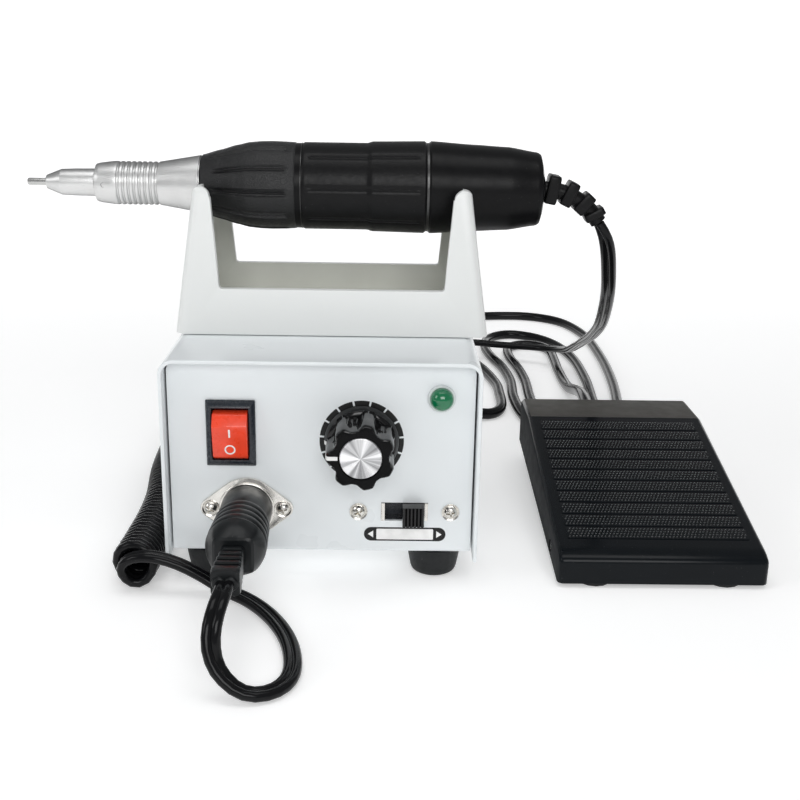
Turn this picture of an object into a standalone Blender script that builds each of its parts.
"""A dental lab micromotor: control box, cradle, handpiece and foot pedal, as separate pieces.

Lengths are in metres and +Z is up. Pieces are placed in bench places: x is 0 at the middle of the control
box, y is 0 at the front edge of its cover and grows towards the back, and z is 0 on the bench top. The
empty named bench carries every piece and moves the whole set so that its origin lies under the middle of
the set, which is measured without the free cords and what is on them.
"""

import math

import bmesh
import bpy
from mathutils import Vector

# Driving dimensions of the control box
BOX_WIDTH = 0.0968
BOX_DEPTH = 0.125
BOX_TOP = 0.0728
BOX_BOTTOM = 0.0095
BOX_CORNER = 0.0048
SHEET = 0.0012
PANEL_RECESS = 0.0049
SIDE_GAP = 0.0006
BEND_RADIUS = 0.0015

# Driving dimensions of the cradle on top
CRADLE_LENGTH = 0.0999
CRADLE_DEPTH = 0.0496
CRADLE_TOP_LENGTH = 0.0869
CRADLE_TOP_DEPTH = 0.0436
CRADLE_HEIGHT = 0.0470
CRADLE_WALL = 0.0026
CRADLE_FLOOR = 0.0080
CRADLE_RAIL = 0.0146
CRADLE_SHIFT = 0.00195
CRADLE_SETBACK = 0.0298

# Driving dimensions of the handpiece
HANDPIECE_RADIUS = 0.01495
NOSE_LENGTH = 0.0504
SLEEVE_LENGTH = 0.0317
RING_WIDTH = 0.0015
GRIP_LENGTH = 0.0402
SEAM_WIDTH = 0.0008
HOUSING_LENGTH = 0.0370
NOSE_PLACE = -0.0920
AXIS_ABOVE_BOX = 0.0447
BUR_RADIUS = 0.001175
BUR_REACH = 0.0062
BUR_DEPTH = 0.014

# Driving dimensions of the foot pedal
PEDAL_WIDTH = 0.0667
PEDAL_LENGTH = 0.114
PEDAL_SLOPE_LENGTH = 0.0905
PEDAL_FRONT_HEIGHT = 0.0116
PEDAL_BACK_HEIGHT = 0.0269
PEDAL_SIDE = 0.0741
PEDAL_FRONT = 0.0002
PEDAL_WALL = 0.0020
PIN_SETBACK = 0.0190
PIN_HEIGHT = 0.0058
PIN_RADIUS = 0.0020
PEDAL_PRESS = math.radians(3)

# Cords
HAND_CORD = 0.0046
PEDAL_CORD = 0.0050
CURL_PITCH = 0.00545
CURL_RADIUS = 0.0050
LAST_CURL_RADIUS = 0.0056

# Clearances and small shared sizes
FIT = 0.0003
RUN = 0.0003
OVERRUN = 0.002
EDGE = 0.0004
MERGE = 0.00001
SMOOTH_ANGLE = math.radians(35)

# Directions that a piece's own +Z can face
UP = (0, 0, 0)
FRONT = (math.pi / 2, 0, 0)
BACK = (-math.pi / 2, 0, 0)
ALONG = (0, math.pi / 2, 0)
ACROSS = (math.pi / 2, 0, math.pi / 2)

# Places that several pieces share
HALF = BOX_WIDTH / 2
PANEL_FRONT = PANEL_RECESS
PANEL_INSIDE = PANEL_RECESS + SHEET
REAR_OUTSIDE = BOX_DEPTH - PANEL_RECESS
BASE_TOP = BOX_BOTTOM + SHEET
CRADLE_Y = CRADLE_SETBACK + CRADLE_DEPTH / 2
CRADLE_BASE = BOX_TOP + FIT
AXIS_Y = CRADLE_Y
AXIS_Z = BOX_TOP + AXIS_ABOVE_BOX
HANDPIECE_LENGTH = NOSE_LENGTH + SLEEVE_LENGTH + RING_WIDTH + GRIP_LENGTH + SEAM_WIDTH + HOUSING_LENGTH

FINISHES = {
    "white_paint": ((0.86, 0.88, 0.89), 0.35, 0.0),
    "cradle_white": ((0.80, 0.81, 0.79), 0.42, 0.0),
    "black_plastic": ((0.02, 0.02, 0.022), 0.38, 0.0),
    "gloss_black": ((0.015, 0.015, 0.017), 0.15, 0.0),
    "slate_plastic": ((0.06, 0.07, 0.085), 0.4, 0.0),
    "red_plastic": ((0.85, 0.09, 0.05), 0.3, 0.0),
    "green_lens": ((0.02, 0.30, 0.12), 0.1, 0.0),
    "clear_plastic": ((0.80, 0.82, 0.83), 0.2, 0.0),
    "nickel": ((0.75, 0.74, 0.71), 0.22, 1.0),
    "aluminium": ((0.78, 0.78, 0.78), 0.32, 1.0),
    "steel": ((0.55, 0.55, 0.56), 0.3, 1.0),
    "copper": ((0.72, 0.33, 0.16), 0.35, 1.0),
    "brass": ((0.70, 0.55, 0.25), 0.35, 1.0),
    "iron": ((0.16, 0.16, 0.17), 0.6, 0.8),
    "rubber": ((0.018, 0.018, 0.018), 0.7, 0.0),
    "board_green": ((0.03, 0.20, 0.09), 0.5, 0.0),
    "carbon": ((0.05, 0.05, 0.05), 0.6, 0.3),
    "cord_black": ((0.012, 0.012, 0.013), 0.2, 0.0),
}


def clear_scene():
    for obj in list(bpy.data.objects):
        bpy.data.objects.remove(obj, do_unlink=True)


def collection(name):
    made = bpy.data.collections.new(name)
    bpy.context.scene.collection.children.link(made)
    return made


clear_scene()
PARTS = collection("dental_lab_micromotor")
CUTTERS = collection("cutters")
BENCH = bpy.data.objects.new("bench", None)
PARTS.objects.link(BENCH)


def finish(name):
    """The Principled material of this name, made once."""
    material = bpy.data.materials.get(name)
    if material is None:
        colour, roughness, metallic = FINISHES[name]
        material = bpy.data.materials.new(name)
        material.use_nodes = True
        shader = material.node_tree.nodes["Principled BSDF"]
        shader.inputs["Base Color"].default_value = (*colour, 1)
        shader.inputs["Roughness"].default_value = roughness
        shader.inputs["Metallic"].default_value = metallic
    return material


def place_object(name, data, look, place, turn):
    obj = bpy.data.objects.new(name, data)
    PARTS.objects.link(obj)
    obj.parent = BENCH
    obj.location = place
    obj.rotation_euler = turn
    data.materials.append(finish(look))
    return obj


def solid(name, bm, look, place=(0, 0, 0), turn=UP):
    """An object made of a bmesh, smooth where its faces meet gently."""
    mesh = bpy.data.meshes.new(name)
    bm.to_mesh(mesh)
    bm.free()
    mesh.shade_smooth()
    mesh.set_sharp_from_angle(angle=SMOOTH_ANGLE)
    return place_object(name, mesh, look, place, turn)


def block(name, size, place, look, turn=UP, top_size=None):
    """A box centred on place. top_size, where given, is the width and depth of its upper face."""
    bm = bmesh.new()
    bmesh.ops.create_cube(bm, size=1)
    bmesh.ops.scale(bm, vec=size, verts=bm.verts)
    if top_size:
        upper = [vert for vert in bm.verts if vert.co.z > 0]
        bmesh.ops.scale(bm, vec=(top_size[0] / size[0], top_size[1] / size[1], 1), verts=upper)
    return solid(name, bm, look, place, turn)


def rod(name, radius, length, place, look, turn=UP, sides=16, end_radius=None):
    """A cylinder or a cone centred on place. end_radius is the radius at its own +Z end."""
    bm = bmesh.new()
    top = radius if end_radius is None else end_radius
    bmesh.ops.create_cone(
        bm, cap_ends=True, cap_tris=False, segments=sides, radius1=radius, radius2=top, depth=length
    )
    return solid(name, bm, look, place, turn)


def turned(name, profile, place, look, turn=UP, sides=16, closed=False):
    """A turned piece. profile is (radius, height) up its outer side, and a ring's goes on down its bore."""
    bm = bmesh.new()
    verts = [bm.verts.new((radius, 0, height)) for radius, height in reversed(profile)]
    for first, second in zip(verts, verts[1:]):
        bm.edges.new((first, second))
    if closed:
        bm.edges.new((verts[-1], verts[0]))
    obj = solid(name, bm, look, place, turn)
    screw = obj.modifiers.new("turn", "SCREW")
    screw.axis = "Z"
    screw.steps = sides
    screw.render_steps = sides
    screw.use_merge_vertices = True
    screw.merge_threshold = MERGE
    return obj


def evaluated_mesh(obj):
    """The object's mesh with its modifiers done, in its own place."""
    bpy.context.view_layer.update()
    graph = bpy.context.evaluated_depsgraph_get()
    return bpy.data.meshes.new_from_object(obj.evaluated_get(graph))


def plate(name, outlines, thickness, place, look, turn=UP):
    """A flat plate. The first outline is its edge and the others are its holes, as (x, y) points."""
    curve = bpy.data.curves.new(name + "_outline", "CURVE")
    curve.dimensions = "2D"
    curve.fill_mode = "BOTH"
    curve.extrude = thickness / 2
    for outline in outlines:
        spline = curve.splines.new("POLY")
        spline.points.add(len(outline) - 1)
        for point, (x, y) in zip(spline.points, outline):
            point.co = (x, y, 0, 1)
        spline.use_cyclic_u = True
    guide = bpy.data.objects.new(name + "_outline", curve)
    PARTS.objects.link(guide)
    mesh = evaluated_mesh(guide)
    bpy.data.objects.remove(guide, do_unlink=True)
    bm = bmesh.new()
    bm.from_mesh(mesh)
    bmesh.ops.remove_doubles(bm, verts=bm.verts, dist=MERGE)
    bmesh.ops.recalc_face_normals(bm, faces=bm.faces)
    return solid(name, bm, look, place, turn)


def bent_sheet(name, path, run, thickness, look):
    """A sheet bent along path, which lies across run, and thickened inwards."""
    bm = bmesh.new()
    run = Vector(run)
    first = [bm.verts.new(point) for point in path]
    second = [bm.verts.new(Vector(point) + run) for point in path]
    for index in range(len(path) - 1):
        bm.faces.new((first[index], first[index + 1], second[index + 1], second[index]))
    obj = solid(name, bm, look)
    thicken = obj.modifiers.new("thicken", "SOLIDIFY")
    thicken.thickness = thickness
    thicken.offset = -1
    thicken.use_even_offset = True
    return obj


def as_tool(tool):
    """Moves a piece to the cutters, where it no longer counts as a part."""
    PARTS.objects.unlink(tool)
    CUTTERS.objects.link(tool)
    tool.hide_render = True
    tool.display_type = "WIRE"
    return tool


def shape_with(body, tool, operation):
    modifier = body.modifiers.new(operation.lower(), "BOOLEAN")
    modifier.operation = operation
    modifier.solver = "EXACT"
    modifier.object = as_tool(tool)


def cut(body, *tools):
    for tool in tools:
        shape_with(body, tool, "DIFFERENCE")


def unite(body, *tools):
    for tool in tools:
        shape_with(body, tool, "UNION")


def soften(obj, width=EDGE, segments=1):
    bevel = obj.modifiers.new("soften", "BEVEL")
    bevel.width = width
    bevel.segments = segments
    bevel.limit_method = "ANGLE"
    bevel.angle_limit = SMOOTH_ANGLE
    bevel.harden_normals = False
    return obj


def arc(centre, radius, start, end, steps):
    """Points on an arc, with both ends. Angles are in degrees."""
    points = []
    for index in range(steps + 1):
        angle = math.radians(start + (end - start) * index / steps)
        points.append((centre[0] + radius * math.cos(angle), centre[1] + radius * math.sin(angle)))
    return points


def circle(centre, radius, sides):
    return arc(centre, radius, 0, 360, sides)[:-1]


def rounded_rectangle(width, height, corner, centre=(0, 0), steps=4):
    points = []
    for start, sx, sy in ((0, 1, 1), (90, -1, 1), (180, -1, -1), (270, 1, -1)):
        middle = (centre[0] + sx * (width / 2 - corner), centre[1] + sy * (height / 2 - corner))
        points += arc(middle, corner, start, start + 90, steps)
    return points


def smooth_route(points, steps=12):
    """Dense points of a smooth curve through the route's own points, however unevenly they are spaced."""
    points = [Vector(point) for point in points]
    ends = [2 * points[0] - points[1]] + points + [2 * points[-1] - points[-2]]
    dense = []
    for index in range(len(points) - 1):
        controls = ends[index : index + 4]
        knots = [0.0]
        for first, second in zip(controls, controls[1:]):
            knots.append(knots[-1] + math.sqrt((second - first).length))
        for step in range(steps):
            dense.append(curve_point(controls, knots, knots[1] + (knots[2] - knots[1]) * step / steps))
    dense.append(points[-1])
    even = spread_points(dense, int(route_length(dense) / ROUTE_SPACING), 0)
    for _ in range(ROUTE_SMOOTHING):
        even = [even[0]] + [(a + 2 * b + c) / 4 for a, b, c in zip(even, even[1:], even[2:])] + [even[-1]]
    return even


def curve_point(controls, knots, at):
    """The point of a curve through four controls, blended in three rounds."""

    def blend(first, second, start, end):
        return first + (second - first) * ((at - knots[start]) / (knots[end] - knots[start]))

    a, b, c = (blend(controls[i], controls[i + 1], i, i + 1) for i in range(3))
    return blend(blend(a, b, 0, 2), blend(b, c, 1, 3), 1, 2)


def route_length(points):
    return sum((Vector(b) - Vector(a)).length for a, b in zip(points, points[1:]))


def spread_points(dense, count, bend_share=2.0):
    """Picks count points along a dense route, closer together where it bends."""
    total = route_length(dense)
    weights = [0.0]
    for index in range(1, len(dense)):
        step = (dense[index] - dense[index - 1]).length
        bend = 0.0
        if index < len(dense) - 1:
            bend = (dense[index] - dense[index - 1]).angle(dense[index + 1] - dense[index], 0)
        weights.append(weights[-1] + step / total + bend_share * bend / (2 * math.pi))
    picked = []
    index = 0
    for number in range(count):
        goal = weights[-1] * number / (count - 1)
        while index < len(dense) - 2 and weights[index + 1] < goal:
            index += 1
        part = (goal - weights[index]) / max(weights[index + 1] - weights[index], 1e-12)
        picked.append(dense[index].lerp(dense[index + 1], min(max(part, 0), 1)))
    return picked


def square_ends(points, reach, start_way, end_way):
    """Puts the points next to the ends straight out from them, so that the ends meet squarely."""
    first, last = points[0], points[-1]
    between = [p for p in points if min((p - first).length, (p - last).length) > 2 * reach]
    leaving = first + start_way.normalized() * reach
    arriving = last - end_way.normalized() * reach
    return [first, leaving, *between, arriving, last]


def tube(name, points, radius, look, resolution=2):
    """A round tube along points, with filled ends."""
    curve = bpy.data.curves.new(name, "CURVE")
    curve.dimensions = "3D"
    curve.bevel_depth = radius
    curve.bevel_resolution = resolution
    curve.use_fill_caps = True
    spline = curve.splines.new("POLY")
    spline.points.add(len(points) - 1)
    for point, co in zip(spline.points, points):
        point.co = (*co, 1)
    return place_object(name, curve, look, (0, 0, 0), UP)


def solid_tube(name, points, radius, look, resolution=2):
    """The same tube as a closed mesh, which can be cut or joined."""
    guide = tube(name + "_guide", points, radius, look, resolution)
    mesh = evaluated_mesh(guide)
    bpy.data.objects.remove(guide, do_unlink=True)
    bm = bmesh.new()
    bm.from_mesh(mesh)
    bmesh.ops.remove_doubles(bm, verts=bm.verts, dist=MERGE)
    bmesh.ops.recalc_face_normals(bm, faces=bm.faces)
    return solid(name, bm, look)


def least_self_gap(points, diameter, apart):
    """The least gap between stretches of a tube that lie more than apart along it from each other."""
    travelled = [0.0]
    for first, second in zip(points, points[1:]):
        travelled.append(travelled[-1] + (Vector(second) - Vector(first)).length)
    least = math.inf
    for i, first in enumerate(points):
        for j in range(i + 1, len(points)):
            if travelled[j] - travelled[i] > apart:
                least = min(least, (Vector(first) - Vector(points[j])).length)
    return least - diameter


# Front panel layout, as places on the panel's face
ROCKER_AT = (-0.0276, 0.04885)
KNOB_AT = (0.0122, 0.0466)
LAMP_AT = (0.0363, 0.0606)
SLIDE_AT = (0.0257, 0.0233)
SOCKET_AT = (-0.0232, 0.0244)
SLIDE_SCREW_PITCH = 0.0287
SOCKET_SCREW_PITCH = 0.0224
SCREW_RADIUS = 0.0012
SCREW_HOLE = 0.0015
SCREW_HEAD_RADIUS = 0.00235
SCREW_HEAD_HEIGHT = 0.0011
SCREW_LENGTH = 0.006
SLOT_REACH_SHARE = 0.6

# Rear panel layout, as places on the panel's face
FUSE_AT = (-0.030, 0.0605)
PEDAL_JACK_AT = (0.034, 0.026)
MAINS_AT = (0.004, 0.026)

# Rocker switch
ROCKER_BEZEL = (0.0150, 0.0210)
ROCKER_BEZEL_PROUD = 0.0019
ROCKER_BEZEL_SLOPE = 0.0008
ROCKER_WINDOW = (0.0112, 0.0165)
ROCKER_BODY = (0.0127, 0.0190)
ROCKER_BODY_DEPTH = 0.0160
ROCKER_POCKET = 0.0112
ROCKER_TILT = math.radians(11)
ROCKER_PIVOT_BACK = 0.0016
ROCKER_HALF_HEIGHT = 0.0074
ROCKER_FACE_HALF = 0.0042
ROCKER_FACE_REACH = 0.0060
ROCKER_END_REACH = 0.0030
ROCKER_BACK_REACH = 0.0034
ROCKER_BACK_HALF = 0.0050

# Speed knob and its potentiometer
POT_RADIUS = 0.0080
POT_DEPTH = 0.0085
POT_BUSH_RADIUS = 0.0035
POT_BUSH_PROUD = 0.0040
POT_SHAFT_RADIUS = 0.0030
POT_SHAFT_REACH = 0.0110
KNOB_SKIRT_RADIUS = 0.01175
KNOB_SKIRT_TOP = 0.0104
KNOB_SKIRT_HEIGHT = 0.0030
KNOB_HEIGHT = 0.0155
KNOB_BASE_RADIUS = 0.0096
KNOB_FACE_RADIUS = 0.0089
KNOB_LOBES = 8
KNOB_LOBE_DEPTH = 0.0008
KNOB_SIDES = 40
KNOB_LIFT = 0.0005
KNOB_CAP_RADIUS = 0.0063
KNOB_CAP_HEIGHT = 0.0009
KNOB_CAP_SINK = 0.0006
KNOB_BORE_DEPTH = 0.0112

# Pilot lamp
LAMP_FLANGE_RADIUS = 0.0045
LAMP_FLANGE_HEIGHT = 0.0010
LAMP_BARREL_RADIUS = 0.0032
LAMP_BARREL_LENGTH = 0.0090
LAMP_BORE = 0.0026
LAMP_LENS_RADIUS = 0.0034
LAMP_DOME = 0.0032
LAMP_STEM_RADIUS = 0.0022
LAMP_STEM_LENGTH = 0.0060

# Direction switch
SLIDE_SLOT = (0.0146, 0.0061)
SLIDE_CASE = (0.0200, 0.0100)
SLIDE_EARS = (0.0350, 0.0070)
SLIDE_EAR_THICKNESS = 0.0008
SLIDE_CASE_DEPTH = 0.0090
SLIDE_POCKET = 0.0040
SLIDE_END_PLATE = 0.0010
SLIDE_END_PROUD = 0.0003
LEVER_WIDTH = 0.0067
LEVER_HEIGHT = 0.0054
LEVER_PROUD = 0.0046
LEVER_SINK = 0.0030
LEVER_RIBS = 6
LEVER_RIB_DEPTH = 0.0005

# Handpiece socket and its plug
SOCKET_RADIUS = 0.0100
SOCKET_EAR_RADIUS = 0.0031
SOCKET_PLATE = 0.0010
SOCKET_COLLAR = 0.0086
SOCKET_COLLAR_HEIGHT = 0.0006
SOCKET_BARREL = 0.0080
SOCKET_BARREL_LENGTH = 0.0120
SOCKET_BORE = 0.0066
SOCKET_BORE_DEPTH = 0.0090
PLUG_NOSE_RADIUS = 0.0062
PLUG_NOSE_LENGTH = 0.0070
PLUG_COLLAR_RADIUS = 0.0079
PLUG_COLLAR_LENGTH = 0.0130
PLUG_RINGS = 3
PLUG_RING_PITCH = 0.0026
PLUG_RING_DEPTH = 0.0006
PLUG_RING_RADIUS = 0.0083
PLUG_BOOT_RADIUS = 0.0088
PLUG_BOOT_LENGTH = 0.0120
PLUG_TAIL_RADIUS = 0.0060
PLUG_BOOT_END_RADIUS = 0.0077
BOOT_FULL_SHARE = 0.35
BOOT_TAPER_SHARE = 0.70
RIDGE_SHARE = 0.60
PLUG_TAIL_LENGTH = 0.0030
RELIEF_WIDTH = 0.0095
RELIEF_HEIGHT = 0.0105
RELIEF_END_HEIGHT = 0.0080
RELIEF_RIBS = 5
RELIEF_LENGTH = 0.0170
RELIEF_GROOVE = 0.0008

# Rear panel pieces
FUSE_RADIUS = 0.0060
FUSE_FLANGE_RADIUS = 0.0075
FUSE_FLANGE_HEIGHT = 0.0015
FUSE_LENGTH = 0.0220
FUSE_BORE = 0.0040
FUSE_CAP_RADIUS = 0.0062
FUSE_CAP_HEIGHT = 0.0085
FUSE_STEM_RADIUS = 0.0034
FUSE_STEM_LENGTH = 0.0100
JACK_RADIUS = 0.0045
JACK_BODY_RADIUS = 0.0070
JACK_BODY_LENGTH = 0.0160
JACK_NUT_RADIUS = 0.0065
JACK_NUT_HEIGHT = 0.0020
JACK_BORE = 0.0033
JACK_PLUG_PIN_RADIUS = 0.0030
JACK_PLUG_PIN_LENGTH = 0.0120
JACK_PLUG_RADIUS = 0.0050
JACK_PLUG_LENGTH = 0.0220
JACK_PLUG_TAIL = 0.0100
MAINS_RADIUS = 0.0060
MAINS_FLANGE_RADIUS = 0.0080
MAINS_FLANGE_HEIGHT = 0.0020
MAINS_TAIL_RADIUS = 0.0042
MAINS_TAIL_LENGTH = 0.0080
MAINS_INSIDE = 0.0060

# Side screws of the cover
COVER_SCREW_RISE = 0.0060
COVER_SCREW_SETBACK = 0.0250
COVER_SCREW_RADIUS = 0.0015
FLANGE_HEIGHT = 0.0120

# Rubber feet of the box
FOOT_AT = 0.0355
FOOT_SETBACK = 0.0140
FOOT_RADIUS = 0.0081
FOOT_BOTTOM_RADIUS = 0.0060


def mirrored_pairs(half_x, low_y, high_y):
    """Four places at two values of y, on both sides of the middle."""
    return [(sx * half_x, y) for y in (low_y, high_y) for sx in (-1, 1)]


def cover_path():
    """The cover's outer line, from the lower left up over the top to the lower right."""
    left = arc((-HALF + BOX_CORNER, BOX_TOP - BOX_CORNER), BOX_CORNER, 180, 90, 6)
    right = arc((HALF - BOX_CORNER, BOX_TOP - BOX_CORNER), BOX_CORNER, 90, 0, 6)
    flat = [(-HALF, BOX_BOTTOM)] + left + right + [(HALF, BOX_BOTTOM)]
    return [(x, 0, z) for x, z in flat]


def make_cover():
    cover = bent_sheet("cover", cover_path(), (0, BOX_DEPTH, 0), SHEET, "white_paint")
    for side in (-1, 1):
        for y in (COVER_SCREW_SETBACK, BOX_DEPTH - COVER_SCREW_SETBACK):
            place = (side * HALF, y, BOX_BOTTOM + COVER_SCREW_RISE)
            radius = COVER_SCREW_RADIUS + FIT
            cut(cover, rod("cover_hole", radius, SHEET + 2 * OVERRUN, place, "steel", ALONG, 12))
    for place_x in cradle_screw_places():
        hole = rod(
            "cover_top_hole",
            CRADLE_SCREW_RADIUS + FIT,
            SHEET + 2 * OVERRUN,
            (place_x, CRADLE_Y, BOX_TOP),
            "steel",
            UP,
            12,
        )
        cut(cover, hole)


def chassis_path():
    """The chassis sheet's outer line: down the front panel, along the base and up the rear panel."""
    top = BOX_TOP - SHEET
    front = arc((PANEL_FRONT + BEND_RADIUS, BOX_BOTTOM + BEND_RADIUS), BEND_RADIUS, 180, 270, 3)
    rear = arc((REAR_OUTSIDE - BEND_RADIUS, BOX_BOTTOM + BEND_RADIUS), BEND_RADIUS, 270, 360, 3)
    flat = [(PANEL_FRONT, top)] + front + rear + [(REAR_OUTSIDE, top)]
    inner_half = HALF - SHEET - SIDE_GAP
    return [(-inner_half, y, z) for y, z in flat]


def panel_punch(name, outline_size, at, y, depth):
    """A box-shaped punch through a panel."""
    size = (outline_size[0], depth, outline_size[1])
    return block(name, size, (at[0], y, at[1]), "steel")


def make_chassis():
    inner_half = HALF - SHEET - SIDE_GAP
    chassis = bent_sheet("chassis", chassis_path(), (2 * inner_half, 0, 0), SHEET, "white_paint")
    flange_depth = BOX_DEPTH - 2 * (PANEL_INSIDE + FIT)
    for side in (-1, 1):
        size = (SHEET, flange_depth, FLANGE_HEIGHT)
        place = (side * (inner_half - SHEET / 2), BOX_DEPTH / 2, BOX_BOTTOM + SHEET / 2 + FLANGE_HEIGHT / 2)
        unite(chassis, block("flange", size, place, "white_paint"))
    pillar = BOARD_LIFT + SHEET / 2
    for x, y in standoff_places():
        place = (x, y, BASE_TOP + BOARD_LIFT - pillar / 2)
        unite(chassis, rod("standoff", STANDOFF_RADIUS, pillar, place, "steel", UP, 6))
    corner = BOX_CORNER - SHEET - SIDE_GAP
    height = BOX_TOP - SHEET - FIT - BOX_BOTTOM + BOX_CORNER
    middle = BOX_TOP - SHEET - FIT - height / 2
    outline = rounded_rectangle(2 * inner_half, height, corner, (0, middle))
    envelope = plate("envelope", [outline], BOX_DEPTH, (0, BOX_DEPTH / 2, 0), "steel", FRONT)
    shape_with(chassis, envelope, "INTERSECT")
    front_y = PANEL_FRONT + SHEET / 2
    rear_y = REAR_OUTSIDE - SHEET / 2
    depth = SHEET + 2 * OVERRUN
    rocker_hole = (ROCKER_BODY[0] + 2 * FIT, ROCKER_BODY[1] + 2 * FIT)
    cut(chassis, panel_punch("rocker_hole", rocker_hole, ROCKER_AT, front_y, depth))
    cut(chassis, panel_punch("slide_hole", SLIDE_SLOT, SLIDE_AT, front_y, depth))
    holes = [
        (KNOB_AT, POT_BUSH_RADIUS + FIT, front_y),
        (LAMP_AT, LAMP_BARREL_RADIUS + FIT, front_y),
        (SOCKET_AT, SOCKET_BARREL + FIT, front_y),
        (FUSE_AT, FUSE_RADIUS + FIT, rear_y),
        (PEDAL_JACK_AT, JACK_RADIUS + FIT, rear_y),
        (MAINS_AT, MAINS_RADIUS + FIT, rear_y),
    ]
    holes += [((x, z), SCREW_HOLE, front_y) for x, z in panel_screw_places()]
    for at, radius, y in holes:
        cut(chassis, rod("panel_hole", radius, depth, (at[0], y, at[1]), "steel", FRONT, 12))
    for side in (-1, 1):
        for y in (COVER_SCREW_SETBACK, BOX_DEPTH - COVER_SCREW_SETBACK):
            place = (side * inner_half, y, BOX_BOTTOM + COVER_SCREW_RISE)
            cut(chassis, rod("flange_hole", COVER_SCREW_RADIUS + FIT, depth, place, "steel", ALONG, 12))


def panel_screw_places():
    """Places of the front panel's four small screws."""
    places = []
    for at, pitch in ((SLIDE_AT, SLIDE_SCREW_PITCH), (SOCKET_AT, SOCKET_SCREW_PITCH)):
        places += [(at[0] + side * pitch / 2, at[1]) for side in (-1, 1)]
    return places


def pan_head_profile(head_radius, head_height, shank_radius, shank_length):
    """A screw with a low domed head. Its own z is 0 under the head."""
    shoulder = head_radius * math.cos(math.radians(45))
    return [
        (0, -shank_length),
        (shank_radius, -shank_length),
        (shank_radius, 0),
        (head_radius, 0),
        (head_radius, head_height / 2),
        (shoulder, head_height),
        (0, head_height),
    ]


def cross_slot(place, radius, depth, turn):
    """Two crossed bars that cut a cross recess."""
    width = radius / 3
    first = block("slot_bar", (2 * radius, width, depth), place, "steel", turn)
    second = block("slot_bar", (width, 2 * radius, depth), place, "steel", turn)
    return first, second


def make_panel_screws():
    names = ("slide_screw_left", "slide_screw_right", "socket_screw_left", "socket_screw_right")
    for name, (x, z) in zip(names, panel_screw_places()):
        seat = PANEL_FRONT - FIT
        if name.startswith("socket"):
            seat -= SOCKET_PLATE + FIT
        profile = pan_head_profile(SCREW_HEAD_RADIUS, SCREW_HEAD_HEIGHT, SCREW_RADIUS, SCREW_LENGTH)
        screw = turned(name, profile, (x, seat, z), "nickel", FRONT, 12)
        face = (x, seat - SCREW_HEAD_HEIGHT, z)
        cut(screw, *cross_slot(face, SCREW_HEAD_RADIUS * SLOT_REACH_SHARE, SCREW_HEAD_HEIGHT, FRONT))


def make_feet():
    names = ("foot_front_left", "foot_front_right", "foot_rear_left", "foot_rear_right")
    height = BOX_BOTTOM - FIT
    places = mirrored_pairs(FOOT_AT, FOOT_SETBACK, BOX_DEPTH - FOOT_SETBACK)
    for name, (x, y) in zip(names, places):
        rod(name, FOOT_BOTTOM_RADIUS, height, (x, y, height / 2), "rubber", UP, 16, FOOT_RADIUS)


# Transformer, at the back left of the chassis
CORE_DEPTH_SHARE = 0.240
CORE_PLACE_SHARE = 0.704
WINDING_DEPTH_SHARE = 0.352
CORE_SIZE = (0.0480, BOX_DEPTH * CORE_DEPTH_SHARE, 0.0420)
CORE_AT = (-0.0160, BOX_DEPTH * CORE_PLACE_SHARE)
CORE_WINDOW = (0.0080, 0.0260)
LIMB_WIDTH = 0.0160
WINDING_DEPTH = BOX_DEPTH * WINDING_DEPTH_SHARE


def make_transformer():
    middle_z = BASE_TOP + FIT + CORE_SIZE[2] / 2
    core = block("transformer_core", CORE_SIZE, (*CORE_AT, middle_z), "iron")
    window_x = LIMB_WIDTH / 2 + CORE_WINDOW[0] / 2
    through = CORE_SIZE[1] + 2 * OVERRUN
    for side in (-1, 1):
        place = (CORE_AT[0] + side * window_x, CORE_AT[1], middle_z)
        cut(core, block("window", (CORE_WINDOW[0], through, CORE_WINDOW[1]), place, "steel"))
    inside = (LIMB_WIDTH + 2 * FIT, CORE_SIZE[1] + 2 * FIT)
    outside = (LIMB_WIDTH + 2 * CORE_WINDOW[0] - 2 * FIT, WINDING_DEPTH)
    ring = [
        rounded_rectangle(*outside, CORE_WINDOW[0] / 2, steps=3),
        rounded_rectangle(*inside, FIT, steps=1),
    ]
    plate("transformer_winding", ring, CORE_WINDOW[1] - 2 * FIT, (*CORE_AT, middle_z), "copper")


# Circuit board, in front of the transformer
BOARD_DEPTH_SHARE = 0.272
BOARD_PLACE_SHARE = 0.384
BOARD_SIZE = (0.0640, BOX_DEPTH * BOARD_DEPTH_SHARE)
BOARD_THICKNESS = 0.0016
BOARD_AT = (0.0100, BOX_DEPTH * BOARD_PLACE_SHARE)
BOARD_LIFT = 0.0060
STANDOFF_RADIUS = 0.0025
STANDOFF_INSET = 0.0035
CAPACITOR_RADIUS = 0.0080
CAPACITOR_HEIGHT = 0.0250
CAPACITOR_SHIFT_SHARE = 0.30


def standoff_places():
    corner_x = BOARD_SIZE[0] / 2 - STANDOFF_INSET
    corner_y = BOARD_SIZE[1] / 2 - STANDOFF_INSET
    return [(BOARD_AT[0] + sx * corner_x, BOARD_AT[1] + sy * corner_y) for sx in (-1, 1) for sy in (-1, 1)]


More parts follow.
